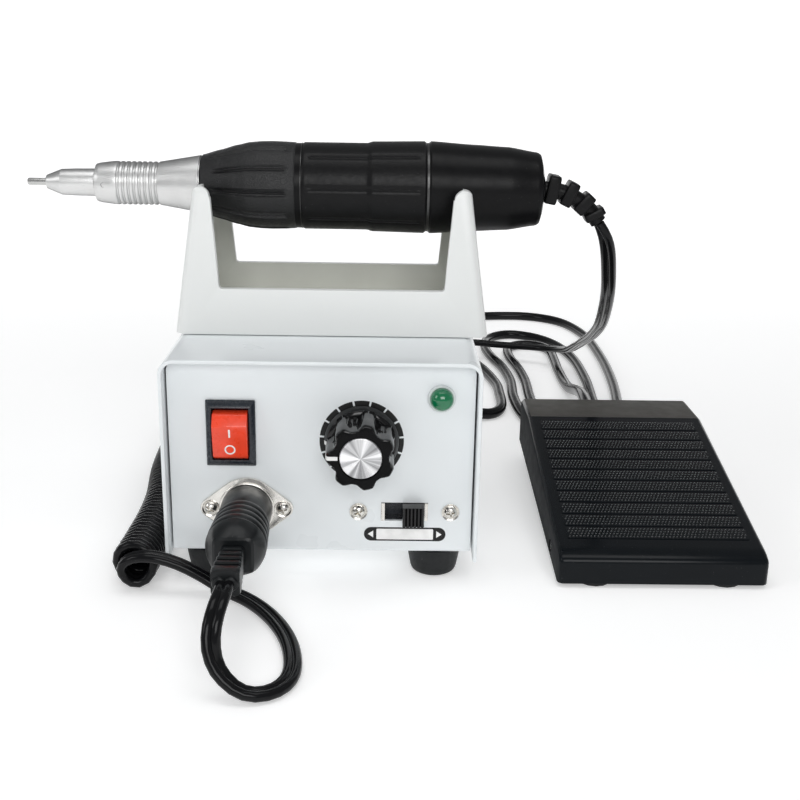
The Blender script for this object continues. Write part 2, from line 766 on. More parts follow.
def make_electronics():
    board_z = BASE_TOP + BOARD_LIFT + FIT + BOARD_THICKNESS / 2
    block("circuit_board", (*BOARD_SIZE, BOARD_THICKNESS), (*BOARD_AT, board_z), "board_green")
    top = board_z + BOARD_THICKNESS / 2 + FIT
    capacitor_at = (BOARD_AT[0] + BOARD_SIZE[0] * CAPACITOR_SHIFT_SHARE, BOARD_AT[1])
    can = [
        (0, 0),
        (CAPACITOR_RADIUS, 0),
        (CAPACITOR_RADIUS, CAPACITOR_HEIGHT - EDGE),
        (CAPACITOR_RADIUS - EDGE, CAPACITOR_HEIGHT),
        (0, CAPACITOR_HEIGHT),
    ]
    turned("smoothing_capacitor", can, (*capacitor_at, top), "slate_plastic", UP)


def make_rocker_switch():
    x, z = ROCKER_AT
    bezel_depth = ROCKER_BEZEL_PROUD
    bezel_y = PANEL_FRONT - FIT - bezel_depth / 2
    small = (ROCKER_BEZEL[0] - 2 * ROCKER_BEZEL_SLOPE, ROCKER_BEZEL[1] - 2 * ROCKER_BEZEL_SLOPE)
    housing = block(
        "rocker_housing", (*ROCKER_BEZEL, bezel_depth), (x, bezel_y, z), "slate_plastic", FRONT, small
    )
    body_depth = ROCKER_BODY_DEPTH + bezel_depth / 2
    body_y = bezel_y + body_depth / 2
    body = (ROCKER_BODY[0], body_depth, ROCKER_BODY[1])
    unite(housing, block("rocker_body", body, (x, body_y, z), "steel"))
    front = PANEL_FRONT - FIT - bezel_depth
    pocket_depth = ROCKER_POCKET + OVERRUN
    pocket = (ROCKER_WINDOW[0], pocket_depth, ROCKER_WINDOW[1])
    cut(housing, block("rocker_pocket", pocket, (x, front - OVERRUN + pocket_depth / 2, z), "steel"))
    half = ROCKER_HALF_HEIGHT
    flat = [
        (-ROCKER_FACE_REACH, ROCKER_FACE_HALF),
        (-ROCKER_FACE_REACH, -ROCKER_FACE_HALF),
        (-ROCKER_END_REACH, -half),
        (0, -half),
        (ROCKER_BACK_REACH, -ROCKER_BACK_HALF),
        (ROCKER_BACK_REACH, ROCKER_BACK_HALF),
        (0, half),
        (-ROCKER_END_REACH, half),
    ]
    cosine, sine = math.cos(ROCKER_TILT), math.sin(ROCKER_TILT)
    tilted = [(y * cosine - up * sine, y * sine + up * cosine) for y, up in flat]
    width = ROCKER_WINDOW[0] - 2 * RUN
    pivot = (x, PANEL_FRONT + ROCKER_PIVOT_BACK, z)
    soften(plate("rocker", [tilted], width, pivot, "red_plastic", ACROSS), EDGE)


def make_speed_control():
    x, z = KNOB_AT
    pot = [
        (0, -POT_DEPTH),
        (POT_RADIUS, -POT_DEPTH),
        (POT_RADIUS, 0),
        (POT_BUSH_RADIUS, 0),
        (POT_BUSH_RADIUS, SHEET + FIT + POT_BUSH_PROUD),
        (POT_SHAFT_RADIUS + RUN, SHEET + FIT + POT_BUSH_PROUD),
        (POT_SHAFT_RADIUS + RUN, -POT_DEPTH / 2),
        (0, -POT_DEPTH / 2),
    ]
    turned("potentiometer", pot, (x, PANEL_INSIDE + FIT, z), "nickel", FRONT)
    shaft_back = PANEL_INSIDE + FIT + POT_DEPTH / 2 - RUN
    shaft_front = PANEL_FRONT - POT_SHAFT_REACH
    shaft_length = shaft_back - shaft_front
    rod("pot_shaft", POT_SHAFT_RADIUS, shaft_length, (x, shaft_front + shaft_length / 2, z), "steel", FRONT)
    knob_back = PANEL_FRONT - KNOB_LIFT
    skirt = [
        (0, 0),
        (KNOB_SKIRT_RADIUS, 0),
        (KNOB_SKIRT_RADIUS, KNOB_SKIRT_HEIGHT / 4),
        (KNOB_SKIRT_TOP, KNOB_SKIRT_HEIGHT),
        (0, KNOB_SKIRT_HEIGHT),
    ]
    knob = turned("speed_knob", skirt, (x, knob_back, z), "gloss_black", FRONT, 24)
    unite(knob, knob_head(x, knob_back, z))
    recess_depth = KNOB_CAP_SINK + OVERRUN
    recess_y = knob_back - KNOB_HEIGHT + KNOB_CAP_SINK - recess_depth / 2
    cut(knob, rod("cap_seat", KNOB_CAP_RADIUS + FIT, recess_depth, (x, recess_y, z), "steel", FRONT, 24))
    bore_depth = KNOB_BORE_DEPTH + OVERRUN
    bore_y = knob_back + OVERRUN - bore_depth / 2
    cut(knob, rod("knob_bore", POT_BUSH_RADIUS + RUN, bore_depth, (x, bore_y, z), "steel", FRONT, 24))
    cap_face = knob_back - KNOB_HEIGHT + KNOB_CAP_SINK - FIT
    cap = [
        (0, 0),
        (KNOB_CAP_RADIUS, 0),
        (KNOB_CAP_RADIUS, KNOB_CAP_HEIGHT - EDGE),
        (KNOB_CAP_RADIUS - EDGE, KNOB_CAP_HEIGHT),
        (0, KNOB_CAP_HEIGHT),
    ]
    turned("knob_cap", cap, (x, cap_face, z), "aluminium", FRONT, 24)


def knob_head(x, knob_back, z):
    """The knob's gripping head: a slightly tapered rod with rounded lobes around it."""
    bm = bmesh.new()
    height = KNOB_HEIGHT - KNOB_SKIRT_HEIGHT / 2
    bmesh.ops.create_cone(
        bm,
        cap_ends=True,
        cap_tris=False,
        segments=KNOB_SIDES,
        radius1=KNOB_BASE_RADIUS,
        radius2=KNOB_FACE_RADIUS,
        depth=height,
    )
    for vert in bm.verts:
        angle = math.atan2(vert.co.y, vert.co.x)
        radius = math.hypot(vert.co.x, vert.co.y)
        share = (radius - KNOB_LOBE_DEPTH * (1 - math.cos(KNOB_LOBES * angle)) / 2) / radius
        vert.co.x *= share
        vert.co.y *= share
    middle_y = knob_back - KNOB_HEIGHT + height / 2
    return solid("knob_head", bm, "gloss_black", (x, middle_y, z), FRONT)


def make_lamp():
    x, z = LAMP_AT
    flange = [
        (LAMP_BARREL_RADIUS, -LAMP_BARREL_LENGTH),
        (LAMP_BARREL_RADIUS, 0),
        (LAMP_FLANGE_RADIUS, 0),
        (LAMP_FLANGE_RADIUS, LAMP_FLANGE_HEIGHT - EDGE),
        (LAMP_FLANGE_RADIUS - EDGE, LAMP_FLANGE_HEIGHT),
        (LAMP_BORE, LAMP_FLANGE_HEIGHT),
        (LAMP_BORE, -LAMP_BARREL_LENGTH),
    ]
    turned("lamp_bezel", flange, (x, PANEL_FRONT - FIT, z), "clear_plastic", FRONT, 16, closed=True)
    seat = LAMP_FLANGE_HEIGHT + FIT
    lens = [(0, -LAMP_STEM_LENGTH), (LAMP_STEM_RADIUS, -LAMP_STEM_LENGTH), (LAMP_STEM_RADIUS, seat)]
    for radius, height in arc((0, 0), LAMP_LENS_RADIUS, 0, 90, 4):
        lens.append((radius, seat + height * LAMP_DOME / LAMP_LENS_RADIUS))
    lens[-1] = (0, seat + LAMP_DOME)
    turned("lamp_lens", lens, (x, PANEL_FRONT - FIT, z), "green_lens", FRONT, 16)


def make_direction_switch():
    x, z = SLIDE_AT
    ear_y = PANEL_INSIDE + FIT + SLIDE_EAR_THICKNESS / 2
    ears = (SLIDE_EARS[0], SLIDE_EAR_THICKNESS, SLIDE_EARS[1])
    switch = block("direction_switch", ears, (x, ear_y, z), "slate_plastic")
    case_y = PANEL_INSIDE + FIT + SLIDE_CASE_DEPTH / 2
    case = (SLIDE_CASE[0], SLIDE_CASE_DEPTH, SLIDE_CASE[1])
    unite(switch, block("slide_case", case, (x, case_y, z), "steel"))
    nose_depth = SHEET + FIT + SLIDE_END_PROUD + SLIDE_CASE_DEPTH / 2
    nose = (SLIDE_SLOT[0] - 2 * FIT, nose_depth, SLIDE_SLOT[1] - 2 * FIT)
    nose_y = PANEL_FRONT - SLIDE_END_PROUD + nose_depth / 2
    unite(switch, block("slide_nose", nose, (x, nose_y, z), "steel"))
    pocket_depth = SHEET + FIT + SLIDE_POCKET + OVERRUN
    pocket = (slide_pocket_width(), pocket_depth, SLIDE_SLOT[1])
    pocket_y = PANEL_INSIDE + FIT + SLIDE_POCKET - pocket_depth / 2
    cut(switch, block("slide_pocket", pocket, (x, pocket_y, z), "steel"))
    for side in (-1, 1):
        place = (x + side * SLIDE_SCREW_PITCH / 2, ear_y, z)
        cut(switch, rod("ear_hole", SCREW_HOLE, SLIDE_EAR_THICKNESS + OVERRUN, place, "steel", FRONT, 16))
    width, height = LEVER_WIDTH, LEVER_PROUD + SHEET + LEVER_SINK
    outline = [(-width / 2, -height / 2)]
    pitch = width / LEVER_RIBS
    for rib in range(LEVER_RIBS):
        left = -width / 2 + rib * pitch
        outline += [
            (left, height / 2 - LEVER_RIB_DEPTH),
            (left + pitch / 4, height / 2),
            (left + 3 * pitch / 4, height / 2),
        ]
    outline += [(width / 2, height / 2 - LEVER_RIB_DEPTH), (width / 2, -height / 2)]
    lever_x = x + lever_travel() / 2
    lever_y = PANEL_FRONT - LEVER_PROUD + height / 2
    # The outline's own x stays x, its y points to the front, and the plate is as thick as the lever is tall.
    turn = (math.pi, 0, 0)
    plate("direction_lever", [outline], LEVER_HEIGHT, (lever_x, lever_y, z), "black_plastic", turn)


def slide_pocket_width():
    return SLIDE_SLOT[0] - 2 * SLIDE_END_PLATE


def lever_travel():
    """How far the lever slides, with its running gap at both ends."""
    return slide_pocket_width() - LEVER_WIDTH - 2 * RUN


def make_socket():
    x, z = SOCKET_AT
    reach = SOCKET_SCREW_PITCH / 2
    lean = math.degrees(math.acos((SOCKET_RADIUS - SOCKET_EAR_RADIUS) / reach))
    outline = (
        arc((reach, 0), SOCKET_EAR_RADIUS, -lean, lean, 6)
        + arc((0, 0), SOCKET_RADIUS, lean, 180 - lean, 8)
        + arc((-reach, 0), SOCKET_EAR_RADIUS, 180 - lean, 180 + lean, 6)
        + arc((0, 0), SOCKET_RADIUS, 180 + lean, 360 - lean, 8)
    )
    holes = [list(reversed(circle((side * reach, 0), SCREW_HOLE, 16))) for side in (-1, 1)]
    flange_y = PANEL_FRONT - FIT - SOCKET_PLATE / 2
    socket = plate("handpiece_socket", [outline] + holes, SOCKET_PLATE, (x, flange_y, z), "nickel", FRONT)
    front = PANEL_FRONT - FIT - SOCKET_PLATE - SOCKET_COLLAR_HEIGHT
    back = front + SOCKET_BARREL_LENGTH + SOCKET_PLATE
    place = (x, front + SOCKET_COLLAR_HEIGHT, z)
    collar = rod("collar", SOCKET_COLLAR, 2 * SOCKET_COLLAR_HEIGHT, place, "nickel", FRONT, 20)
    barrel_length = back - front - SOCKET_COLLAR_HEIGHT
    place = (x, back - barrel_length / 2, z)
    barrel = rod("barrel", SOCKET_BARREL, barrel_length, place, "nickel", FRONT, 20)
    unite(socket, collar, barrel)
    bore_depth = SOCKET_BORE_DEPTH + OVERRUN
    place = (x, front - OVERRUN + bore_depth / 2, z)
    cut(socket, rod("socket_bore", SOCKET_BORE, bore_depth, place, "nickel", FRONT, 20))


def socket_face():
    return PANEL_FRONT - FIT - SOCKET_PLATE - SOCKET_COLLAR_HEIGHT


def plug_profile():
    """The plug, from the end of its nose inside the socket to the tail that holds the strain relief."""
    points = [
        (0, -PLUG_NOSE_LENGTH),
        (PLUG_NOSE_RADIUS, -PLUG_NOSE_LENGTH),
        (PLUG_NOSE_RADIUS, FIT),
        (PLUG_COLLAR_RADIUS, FIT),
        (PLUG_COLLAR_RADIUS, PLUG_COLLAR_LENGTH),
    ]
    height = PLUG_COLLAR_LENGTH
    for _ in range(PLUG_RINGS):
        points += [
            (PLUG_RING_RADIUS, height),
            (PLUG_RING_RADIUS, height + PLUG_RING_PITCH * RIDGE_SHARE),
            (PLUG_RING_RADIUS - PLUG_RING_DEPTH, height + PLUG_RING_PITCH * RIDGE_SHARE),
            (PLUG_RING_RADIUS - PLUG_RING_DEPTH, height + PLUG_RING_PITCH),
        ]
        height += PLUG_RING_PITCH
    points += [
        (PLUG_RING_RADIUS, height),
        (PLUG_BOOT_RADIUS, height + PLUG_BOOT_LENGTH * BOOT_FULL_SHARE),
        (PLUG_BOOT_RADIUS, height + PLUG_BOOT_LENGTH * BOOT_TAPER_SHARE),
        (PLUG_BOOT_END_RADIUS, height + PLUG_BOOT_LENGTH),
        (PLUG_TAIL_RADIUS, height + PLUG_BOOT_LENGTH + PLUG_TAIL_LENGTH),
        (0, height + PLUG_BOOT_LENGTH + PLUG_TAIL_LENGTH),
    ]
    return points


def plug_length():
    return PLUG_COLLAR_LENGTH + PLUG_RINGS * PLUG_RING_PITCH + PLUG_BOOT_LENGTH + PLUG_TAIL_LENGTH


def relief_outline(length, height, end_height, ribs, groove):
    """A strain relief seen from the side, running along +x: blocks with grooves between them."""
    upper = []
    pitch = length / ribs
    for rib in range(ribs):
        start = rib * pitch
        share = rib / (ribs - 1)
        half = (height + (end_height - height) * share) / 2
        end = start + pitch * RIDGE_SHARE
        upper += [(start, half), (end, half)]
        if rib < ribs - 1:
            upper += [(end, half - groove), (start + pitch, half - groove)]
    return upper + [(x, -y) for x, y in reversed(upper)]


def make_plug():
    x, z = SOCKET_AT
    plug = turned("motor_plug", plug_profile(), (x, socket_face(), z), "rubber", FRONT, 20)
    start = socket_face() - plug_length() + PLUG_TAIL_LENGTH / 2
    outline = relief_outline(RELIEF_LENGTH, RELIEF_HEIGHT, RELIEF_END_HEIGHT, RELIEF_RIBS, RELIEF_GROOVE)
    flipped = [(-along, up) for along, up in reversed(outline)]
    unite(plug, plate("plug_relief", [flipped], RELIEF_WIDTH, (x, start, z), "rubber", ACROSS))


def plug_cord_start():
    x, z = SOCKET_AT
    return (x, socket_face() - plug_length() + PLUG_TAIL_LENGTH / 2 - RELIEF_LENGTH - FIT, z)


def make_rear_pieces():
    x, z = FUSE_AT
    seat = REAR_OUTSIDE + FIT
    holder = [
        (0, -FUSE_LENGTH),
        (FUSE_RADIUS, -FUSE_LENGTH),
        (FUSE_RADIUS, 0),
        (FUSE_FLANGE_RADIUS, 0),
        (FUSE_FLANGE_RADIUS, FUSE_FLANGE_HEIGHT),
        (FUSE_BORE, FUSE_FLANGE_HEIGHT),
        (FUSE_BORE, FUSE_FLANGE_HEIGHT - FUSE_STEM_LENGTH - FIT),
        (0, FUSE_FLANGE_HEIGHT - FUSE_STEM_LENGTH - FIT),
    ]
    turned("fuse_holder", holder, (x, seat, z), "black_plastic", BACK)
    cap = [
        (0, -FUSE_STEM_LENGTH),
        (FUSE_STEM_RADIUS, -FUSE_STEM_LENGTH),
        (FUSE_STEM_RADIUS, FIT),
        (FUSE_CAP_RADIUS, FIT),
        (FUSE_CAP_RADIUS, FUSE_CAP_HEIGHT - EDGE),
        (FUSE_CAP_RADIUS - EDGE, FUSE_CAP_HEIGHT),
        (0, FUSE_CAP_HEIGHT),
    ]
    fuse_cap = turned("fuse_cap", cap, (x, seat + FUSE_FLANGE_HEIGHT, z), "black_plastic", BACK)
    slot_place = (x, seat + FUSE_FLANGE_HEIGHT + FUSE_CAP_HEIGHT, z)
    cut(fuse_cap, block("coin_slot", (FUSE_CAP_RADIUS, EDGE * 4, EDGE * 4), slot_place, "steel"))
    make_pedal_jack()
    make_mains_gland()


def make_pedal_jack():
    x, z = PEDAL_JACK_AT
    jack = [
        (0, -JACK_BODY_LENGTH),
        (JACK_BODY_RADIUS, -JACK_BODY_LENGTH),
        (JACK_BODY_RADIUS, -SHEET - FIT),
        (JACK_RADIUS, -SHEET - FIT),
        (JACK_RADIUS, FIT),
        (JACK_NUT_RADIUS, FIT),
        (JACK_NUT_RADIUS, FIT + JACK_NUT_HEIGHT),
        (JACK_BORE, FIT + JACK_NUT_HEIGHT),
        (JACK_BORE, FIT + JACK_NUT_HEIGHT - JACK_PLUG_PIN_LENGTH - FIT),
        (0, FIT + JACK_NUT_HEIGHT - JACK_PLUG_PIN_LENGTH - FIT),
    ]
    turned("pedal_jack", jack, (x, REAR_OUTSIDE, z), "nickel", BACK)
    plug = [
        (0, -JACK_PLUG_PIN_LENGTH),
        (JACK_PLUG_PIN_RADIUS, -JACK_PLUG_PIN_LENGTH),
        (JACK_PLUG_PIN_RADIUS, FIT),
        (JACK_PLUG_RADIUS, FIT),
        (JACK_PLUG_RADIUS, JACK_PLUG_LENGTH),
        (PEDAL_CORD / 2 + EDGE, JACK_PLUG_LENGTH + JACK_PLUG_TAIL),
        (0, JACK_PLUG_LENGTH + JACK_PLUG_TAIL),
    ]
    face = REAR_OUTSIDE + FIT + JACK_NUT_HEIGHT
    turned("pedal_plug", plug, (x, face, z), "rubber", BACK)


def pedal_plug_end():
    x, z = PEDAL_JACK_AT
    return (x, REAR_OUTSIDE + FIT + JACK_NUT_HEIGHT + JACK_PLUG_LENGTH + JACK_PLUG_TAIL + FIT, z)


def make_mains_gland():
    x, z = MAINS_AT
    gland = [
        (0, -MAINS_INSIDE),
        (MAINS_RADIUS, -MAINS_INSIDE),
        (MAINS_RADIUS, FIT),
        (MAINS_FLANGE_RADIUS, FIT),
        (MAINS_FLANGE_RADIUS, MAINS_FLANGE_HEIGHT),
        (MAINS_TAIL_RADIUS + EDGE, MAINS_FLANGE_HEIGHT),
        (MAINS_TAIL_RADIUS, MAINS_FLANGE_HEIGHT + MAINS_TAIL_LENGTH),
        (0, MAINS_FLANGE_HEIGHT + MAINS_TAIL_LENGTH),
    ]
    turned("mains_gland", gland, (x, REAR_OUTSIDE, z), "rubber", BACK)


# Cradle windows, notches and screws
RAIL_WINDOW_HALF = 0.0351
POST_WINDOW_HALF = 0.0384
WINDOW_CORNER = 0.0030
LEFT_NOTCH = 0.0112
RIGHT_NOTCH = 0.0146
NOTCH_FLARE = 0.0012
CRADLE_SCREW_AT = 0.0260
CRADLE_SCREW_RADIUS = 0.0015
CRADLE_SCREW_HEAD = 0.0030
CRADLE_SCREW_HEAD_HEIGHT = 0.0016


def cradle_screw_places():
    return [CRADLE_SHIFT + side * CRADLE_SCREW_AT for side in (-1, 1)]


def make_cradle():
    """A moulded tray whose end walls rise to four posts, with a notch for the handpiece at each end."""
    middle = CRADLE_BASE + CRADLE_HEIGHT / 2
    cradle = block(
        "cradle",
        (CRADLE_LENGTH, CRADLE_DEPTH, CRADLE_HEIGHT),
        (CRADLE_SHIFT, CRADLE_Y, middle),
        "cradle_white",
        UP,
        (CRADLE_TOP_LENGTH, CRADLE_TOP_DEPTH),
    )
    soften(cradle, WINDOW_CORNER, 2)
    lean_x = (CRADLE_LENGTH - CRADLE_TOP_LENGTH) / CRADLE_HEIGHT
    lean_y = (CRADLE_DEPTH - CRADLE_TOP_DEPTH) / CRADLE_HEIGHT
    inner_height = CRADLE_HEIGHT - CRADLE_FLOOR + OVERRUN
    low = (
        CRADLE_LENGTH - lean_x * CRADLE_FLOOR - 2 * CRADLE_WALL,
        CRADLE_DEPTH - lean_y * CRADLE_FLOOR - 2 * CRADLE_WALL,
    )
    high = (low[0] - lean_x * inner_height, low[1] - lean_y * inner_height)
    inner_z = CRADLE_BASE + CRADLE_FLOOR + inner_height / 2
    tray = block("tray", (*low, inner_height), (CRADLE_SHIFT, CRADLE_Y, inner_z), "steel", UP, high)
    cut(cradle, soften(tray, WINDOW_CORNER))
    rail = CRADLE_BASE + CRADLE_RAIL
    top = CRADLE_BASE + CRADLE_HEIGHT + OVERRUN
    window = [
        (CRADLE_SHIFT - POST_WINDOW_HALF, top),
        (CRADLE_SHIFT - RAIL_WINDOW_HALF - WINDOW_CORNER / 4, rail + WINDOW_CORNER),
        (CRADLE_SHIFT - RAIL_WINDOW_HALF + WINDOW_CORNER, rail),
        (CRADLE_SHIFT + RAIL_WINDOW_HALF - WINDOW_CORNER, rail),
        (CRADLE_SHIFT + RAIL_WINDOW_HALF + WINDOW_CORNER / 4, rail + WINDOW_CORNER),
        (CRADLE_SHIFT + POST_WINDOW_HALF, top),
    ]
    depth = CRADLE_DEPTH + 2 * OVERRUN
    cut(cradle, plate("window", [window], depth, (0, CRADLE_Y, 0), "steel", FRONT))
    for side, radius in ((-1, LEFT_NOTCH), (1, RIGHT_NOTCH)):
        flare = radius + NOTCH_FLARE
        outline = arc((CRADLE_Y, AXIS_Z), radius, 180, 360, 12)
        outline += [(CRADLE_Y + flare, top), (CRADLE_Y - flare, top)]
        reach = CRADLE_LENGTH / 2 - RAIL_WINDOW_HALF + OVERRUN
        place = (CRADLE_SHIFT + side * (CRADLE_LENGTH / 2 + OVERRUN - reach / 2), 0, 0)
        cut(cradle, plate("notch", [outline], reach, place, "steel", ACROSS))
    for x in cradle_screw_places():
        seat = CRADLE_BASE + CRADLE_FLOOR - CRADLE_SCREW_HEAD_HEIGHT
        through = CRADLE_FLOOR + 2 * OVERRUN
        place = (x, CRADLE_Y, CRADLE_BASE + CRADLE_FLOOR / 2)
        cut(cradle, rod("cradle_hole", CRADLE_SCREW_RADIUS + FIT, through, place, "steel", UP, 16))
        sink = CRADLE_SCREW_HEAD_HEIGHT + OVERRUN
        place = (x, CRADLE_Y, seat + sink / 2)
        cut(cradle, rod("head_seat", CRADLE_SCREW_HEAD + FIT, sink, place, "steel", UP, 20))


# Handpiece profiles, as shares of a piece's length and of the handpiece's largest radius
NOSE_CONE_SHARES = (
    (0.000, 0.157),
    (0.013, 0.164),
    (0.032, 0.187),
    (0.052, 0.227),
    (0.074, 0.252),
    (0.100, 0.274),
    (0.190, 0.294),
    (0.320, 0.298),
    (0.328, 0.405),
    (0.352, 0.428),
    (0.430, 0.462),
)
NOSE_GROOVE_START_SHARE = 0.455
NOSE_GROOVE_END_SHARE = 0.734
NOSE_BARREL_SHARE = 0.468
NOSE_GROOVES = 8
NOSE_GROOVE_DEPTH = 0.00035
NOSE_END_SHARE = 0.622
SLEEVE_SHARES = (
    (0.000, 0.645),
    (0.075, 0.700),
    (0.110, 0.755),
    (0.235, 0.845),
    (0.400, 0.910),
    (0.560, 0.930),
    (0.760, 0.928),
    (1.000, 0.886),
)
GRIP_SHARES = (
    (0.000, 0.905),
    (0.020, 0.920),
    (0.520, 0.920),
    (0.600, 0.974),
    (0.985, 1.000),
    (1.000, 0.985),
)
HOUSING_SHARES = (
    (0.000, 0.985),
    (0.015, 0.997),
    (0.490, 0.912),
    (0.690, 0.876),
    (0.900, 0.770),
    (0.965, 0.700),
    (1.000, 0.560),
)
NOSE_TAIL_RADIUS = 0.0088
NOSE_TAIL_LENGTH = 0.0290
NOSE_BORE = 0.0055
NOSE_TIP_BORE = 0.0018
NOSE_STEP_SHARE = 0.360
COLLET_RADIUS = 0.0015
COLLET_BACK_RADIUS = 0.0024
COLLET_LENGTH = 0.0165
COLLET_SET_IN = 0.0006
SPINDLE_RADIUS = 0.0020
SPINDLE_TAIL = 0.0085
BEARING_RADIUS = 0.0052
BEARING_WIDTH = 0.0040
BEARING_SHARE = 0.80
REAR_BEARING_RADIUS = 0.0065
CAN_RADIUS = 0.0126
CAN_WALL = 0.0009
CAN_RING_RADIUS = 0.0132
CAN_REAR_PLATE = 0.0020
MAGNET_THICKNESS = 0.0020
MAGNET_LENGTH = 0.0280
ARMATURE_RADIUS = 0.0088
ARMATURE_LENGTH = 0.0260
ARMATURE_SETBACK = 0.0060
COIL_END_RADIUS = 0.0070
COIL_END_LENGTH = 0.0040
COMMUTATOR_RADIUS = 0.0045
COMMUTATOR_LENGTH = 0.0080
BRUSH_SIZE = (0.0050, 0.0034, 0.0046)
BRUSH_HOLDER_LENGTH = 0.0090
HOUSING_WALL = 0.0016
HOUSING_FLOOR = 0.0040


def along_handpiece(distance):
    """The place on the handpiece's axis at this distance behind its nose tip."""
    return (NOSE_PLACE + distance, AXIS_Y, AXIS_Z)


def scaled(shares, length):
    return [(HANDPIECE_RADIUS * radius, length * along) for along, radius in shares]


def shell_profile(outer, bore):
    """A ring profile: an outer line and a straight bore of this radius."""
    return list(outer) + [(bore, outer[-1][1]), (bore, outer[0][1])]


SLEEVE_START = NOSE_LENGTH + RUN
RING_START = NOSE_LENGTH + SLEEVE_LENGTH
GRIP_START = RING_START + RING_WIDTH
GRIP_END = GRIP_START + GRIP_LENGTH
HOUSING_START = GRIP_END + SEAM_WIDTH


def make_nose():
    outer = scaled(NOSE_CONE_SHARES, NOSE_LENGTH)
    start = NOSE_LENGTH * NOSE_GROOVE_START_SHARE
    end = NOSE_LENGTH * NOSE_GROOVE_END_SHARE
    pitch = (end - start) / NOSE_GROOVES
    barrel = HANDPIECE_RADIUS * NOSE_BARREL_SHARE
    for groove in range(NOSE_GROOVES):
        at = start + groove * pitch
        outer += [(barrel, at), (barrel - NOSE_GROOVE_DEPTH, at + pitch / 2)]
    outer += [
        (barrel, end),
        (HANDPIECE_RADIUS * NOSE_END_SHARE, NOSE_LENGTH),
        (NOSE_TAIL_RADIUS, NOSE_LENGTH),
        (NOSE_TAIL_RADIUS, NOSE_LENGTH + NOSE_TAIL_LENGTH),
        (NOSE_BORE, NOSE_LENGTH + NOSE_TAIL_LENGTH),
        (NOSE_BORE, NOSE_LENGTH * NOSE_STEP_SHARE),
        (COLLET_BACK_RADIUS + FIT, NOSE_LENGTH * NOSE_STEP_SHARE),
        (COLLET_BACK_RADIUS + FIT, COLLET_LENGTH / 3),
        (NOSE_TIP_BORE, COLLET_SET_IN),
        (NOSE_TIP_BORE, 0),
    ]
    turned("nose_sleeve", outer, along_handpiece(0), "aluminium", ALONG, 18, closed=True)


def make_chuck_sleeve():
    outer = scaled(SLEEVE_SHARES, SLEEVE_LENGTH - 2 * RUN)
    profile = shell_profile(outer, NOSE_TAIL_RADIUS + RUN)
    turned("chuck_sleeve", profile, along_handpiece(SLEEVE_START), "black_plastic", ALONG, 24, closed=True)


def make_motor_can():
    """The steel can inside the grip. Its end rings show as bright lines in front of and behind the grip."""
    front = NOSE_LENGTH + NOSE_TAIL_LENGTH + RUN
    length = HOUSING_START + BRUSH_HOLDER_LENGTH - front
    ring_start = RING_START + RUN - front
    ring_end = GRIP_START - FIT - front
    back_start = GRIP_END + FIT - front
    back_end = HOUSING_START - FIT - front
    outer = [
        (NOSE_TAIL_RADIUS, 0),
        (NOSE_TAIL_RADIUS, ring_start),
        (CAN_RING_RADIUS, ring_start),
        (CAN_RING_RADIUS, ring_end),
        (CAN_RADIUS, ring_end),
        (CAN_RADIUS, back_start),
        (CAN_RING_RADIUS + EDGE, back_start),
        (CAN_RING_RADIUS + EDGE, back_end),
        (CAN_RADIUS, back_end),
        (CAN_RADIUS, length),
        (CAN_RADIUS - CAN_WALL, length),
        (CAN_RADIUS - CAN_WALL, ring_end + CAN_REAR_PLATE),
        (SPINDLE_RADIUS + RUN, ring_end + CAN_REAR_PLATE),
        (SPINDLE_RADIUS + RUN, 0),
    ]
    turned("motor_can", outer, along_handpiece(front), "aluminium", ALONG, 16, closed=True)


def make_grip_and_housing():
    grip = shell_profile(scaled(GRIP_SHARES, GRIP_LENGTH), CAN_RADIUS + FIT)
    turned("grip_shell", grip, along_handpiece(GRIP_START), "black_plastic", ALONG, 24, closed=True)
    outer = scaled(HOUSING_SHARES, HOUSING_LENGTH)
    tail_bore = RELIEF_NECK + FIT
    profile = outer + [
        (tail_bore, HOUSING_LENGTH),
        (tail_bore, HOUSING_LENGTH - HOUSING_FLOOR),
        (outer[-3][0] - HOUSING_WALL, HOUSING_LENGTH - HOUSING_FLOOR),
        (outer[-4][0] - HOUSING_WALL, HOUSING_LENGTH / 2),
        (CAN_RADIUS + FIT, BRUSH_HOLDER_LENGTH + FIT),
        (CAN_RADIUS + FIT, 0),
    ]
    turned("rear_housing", profile, along_handpiece(HOUSING_START), "black_plastic", ALONG, 24, closed=True)


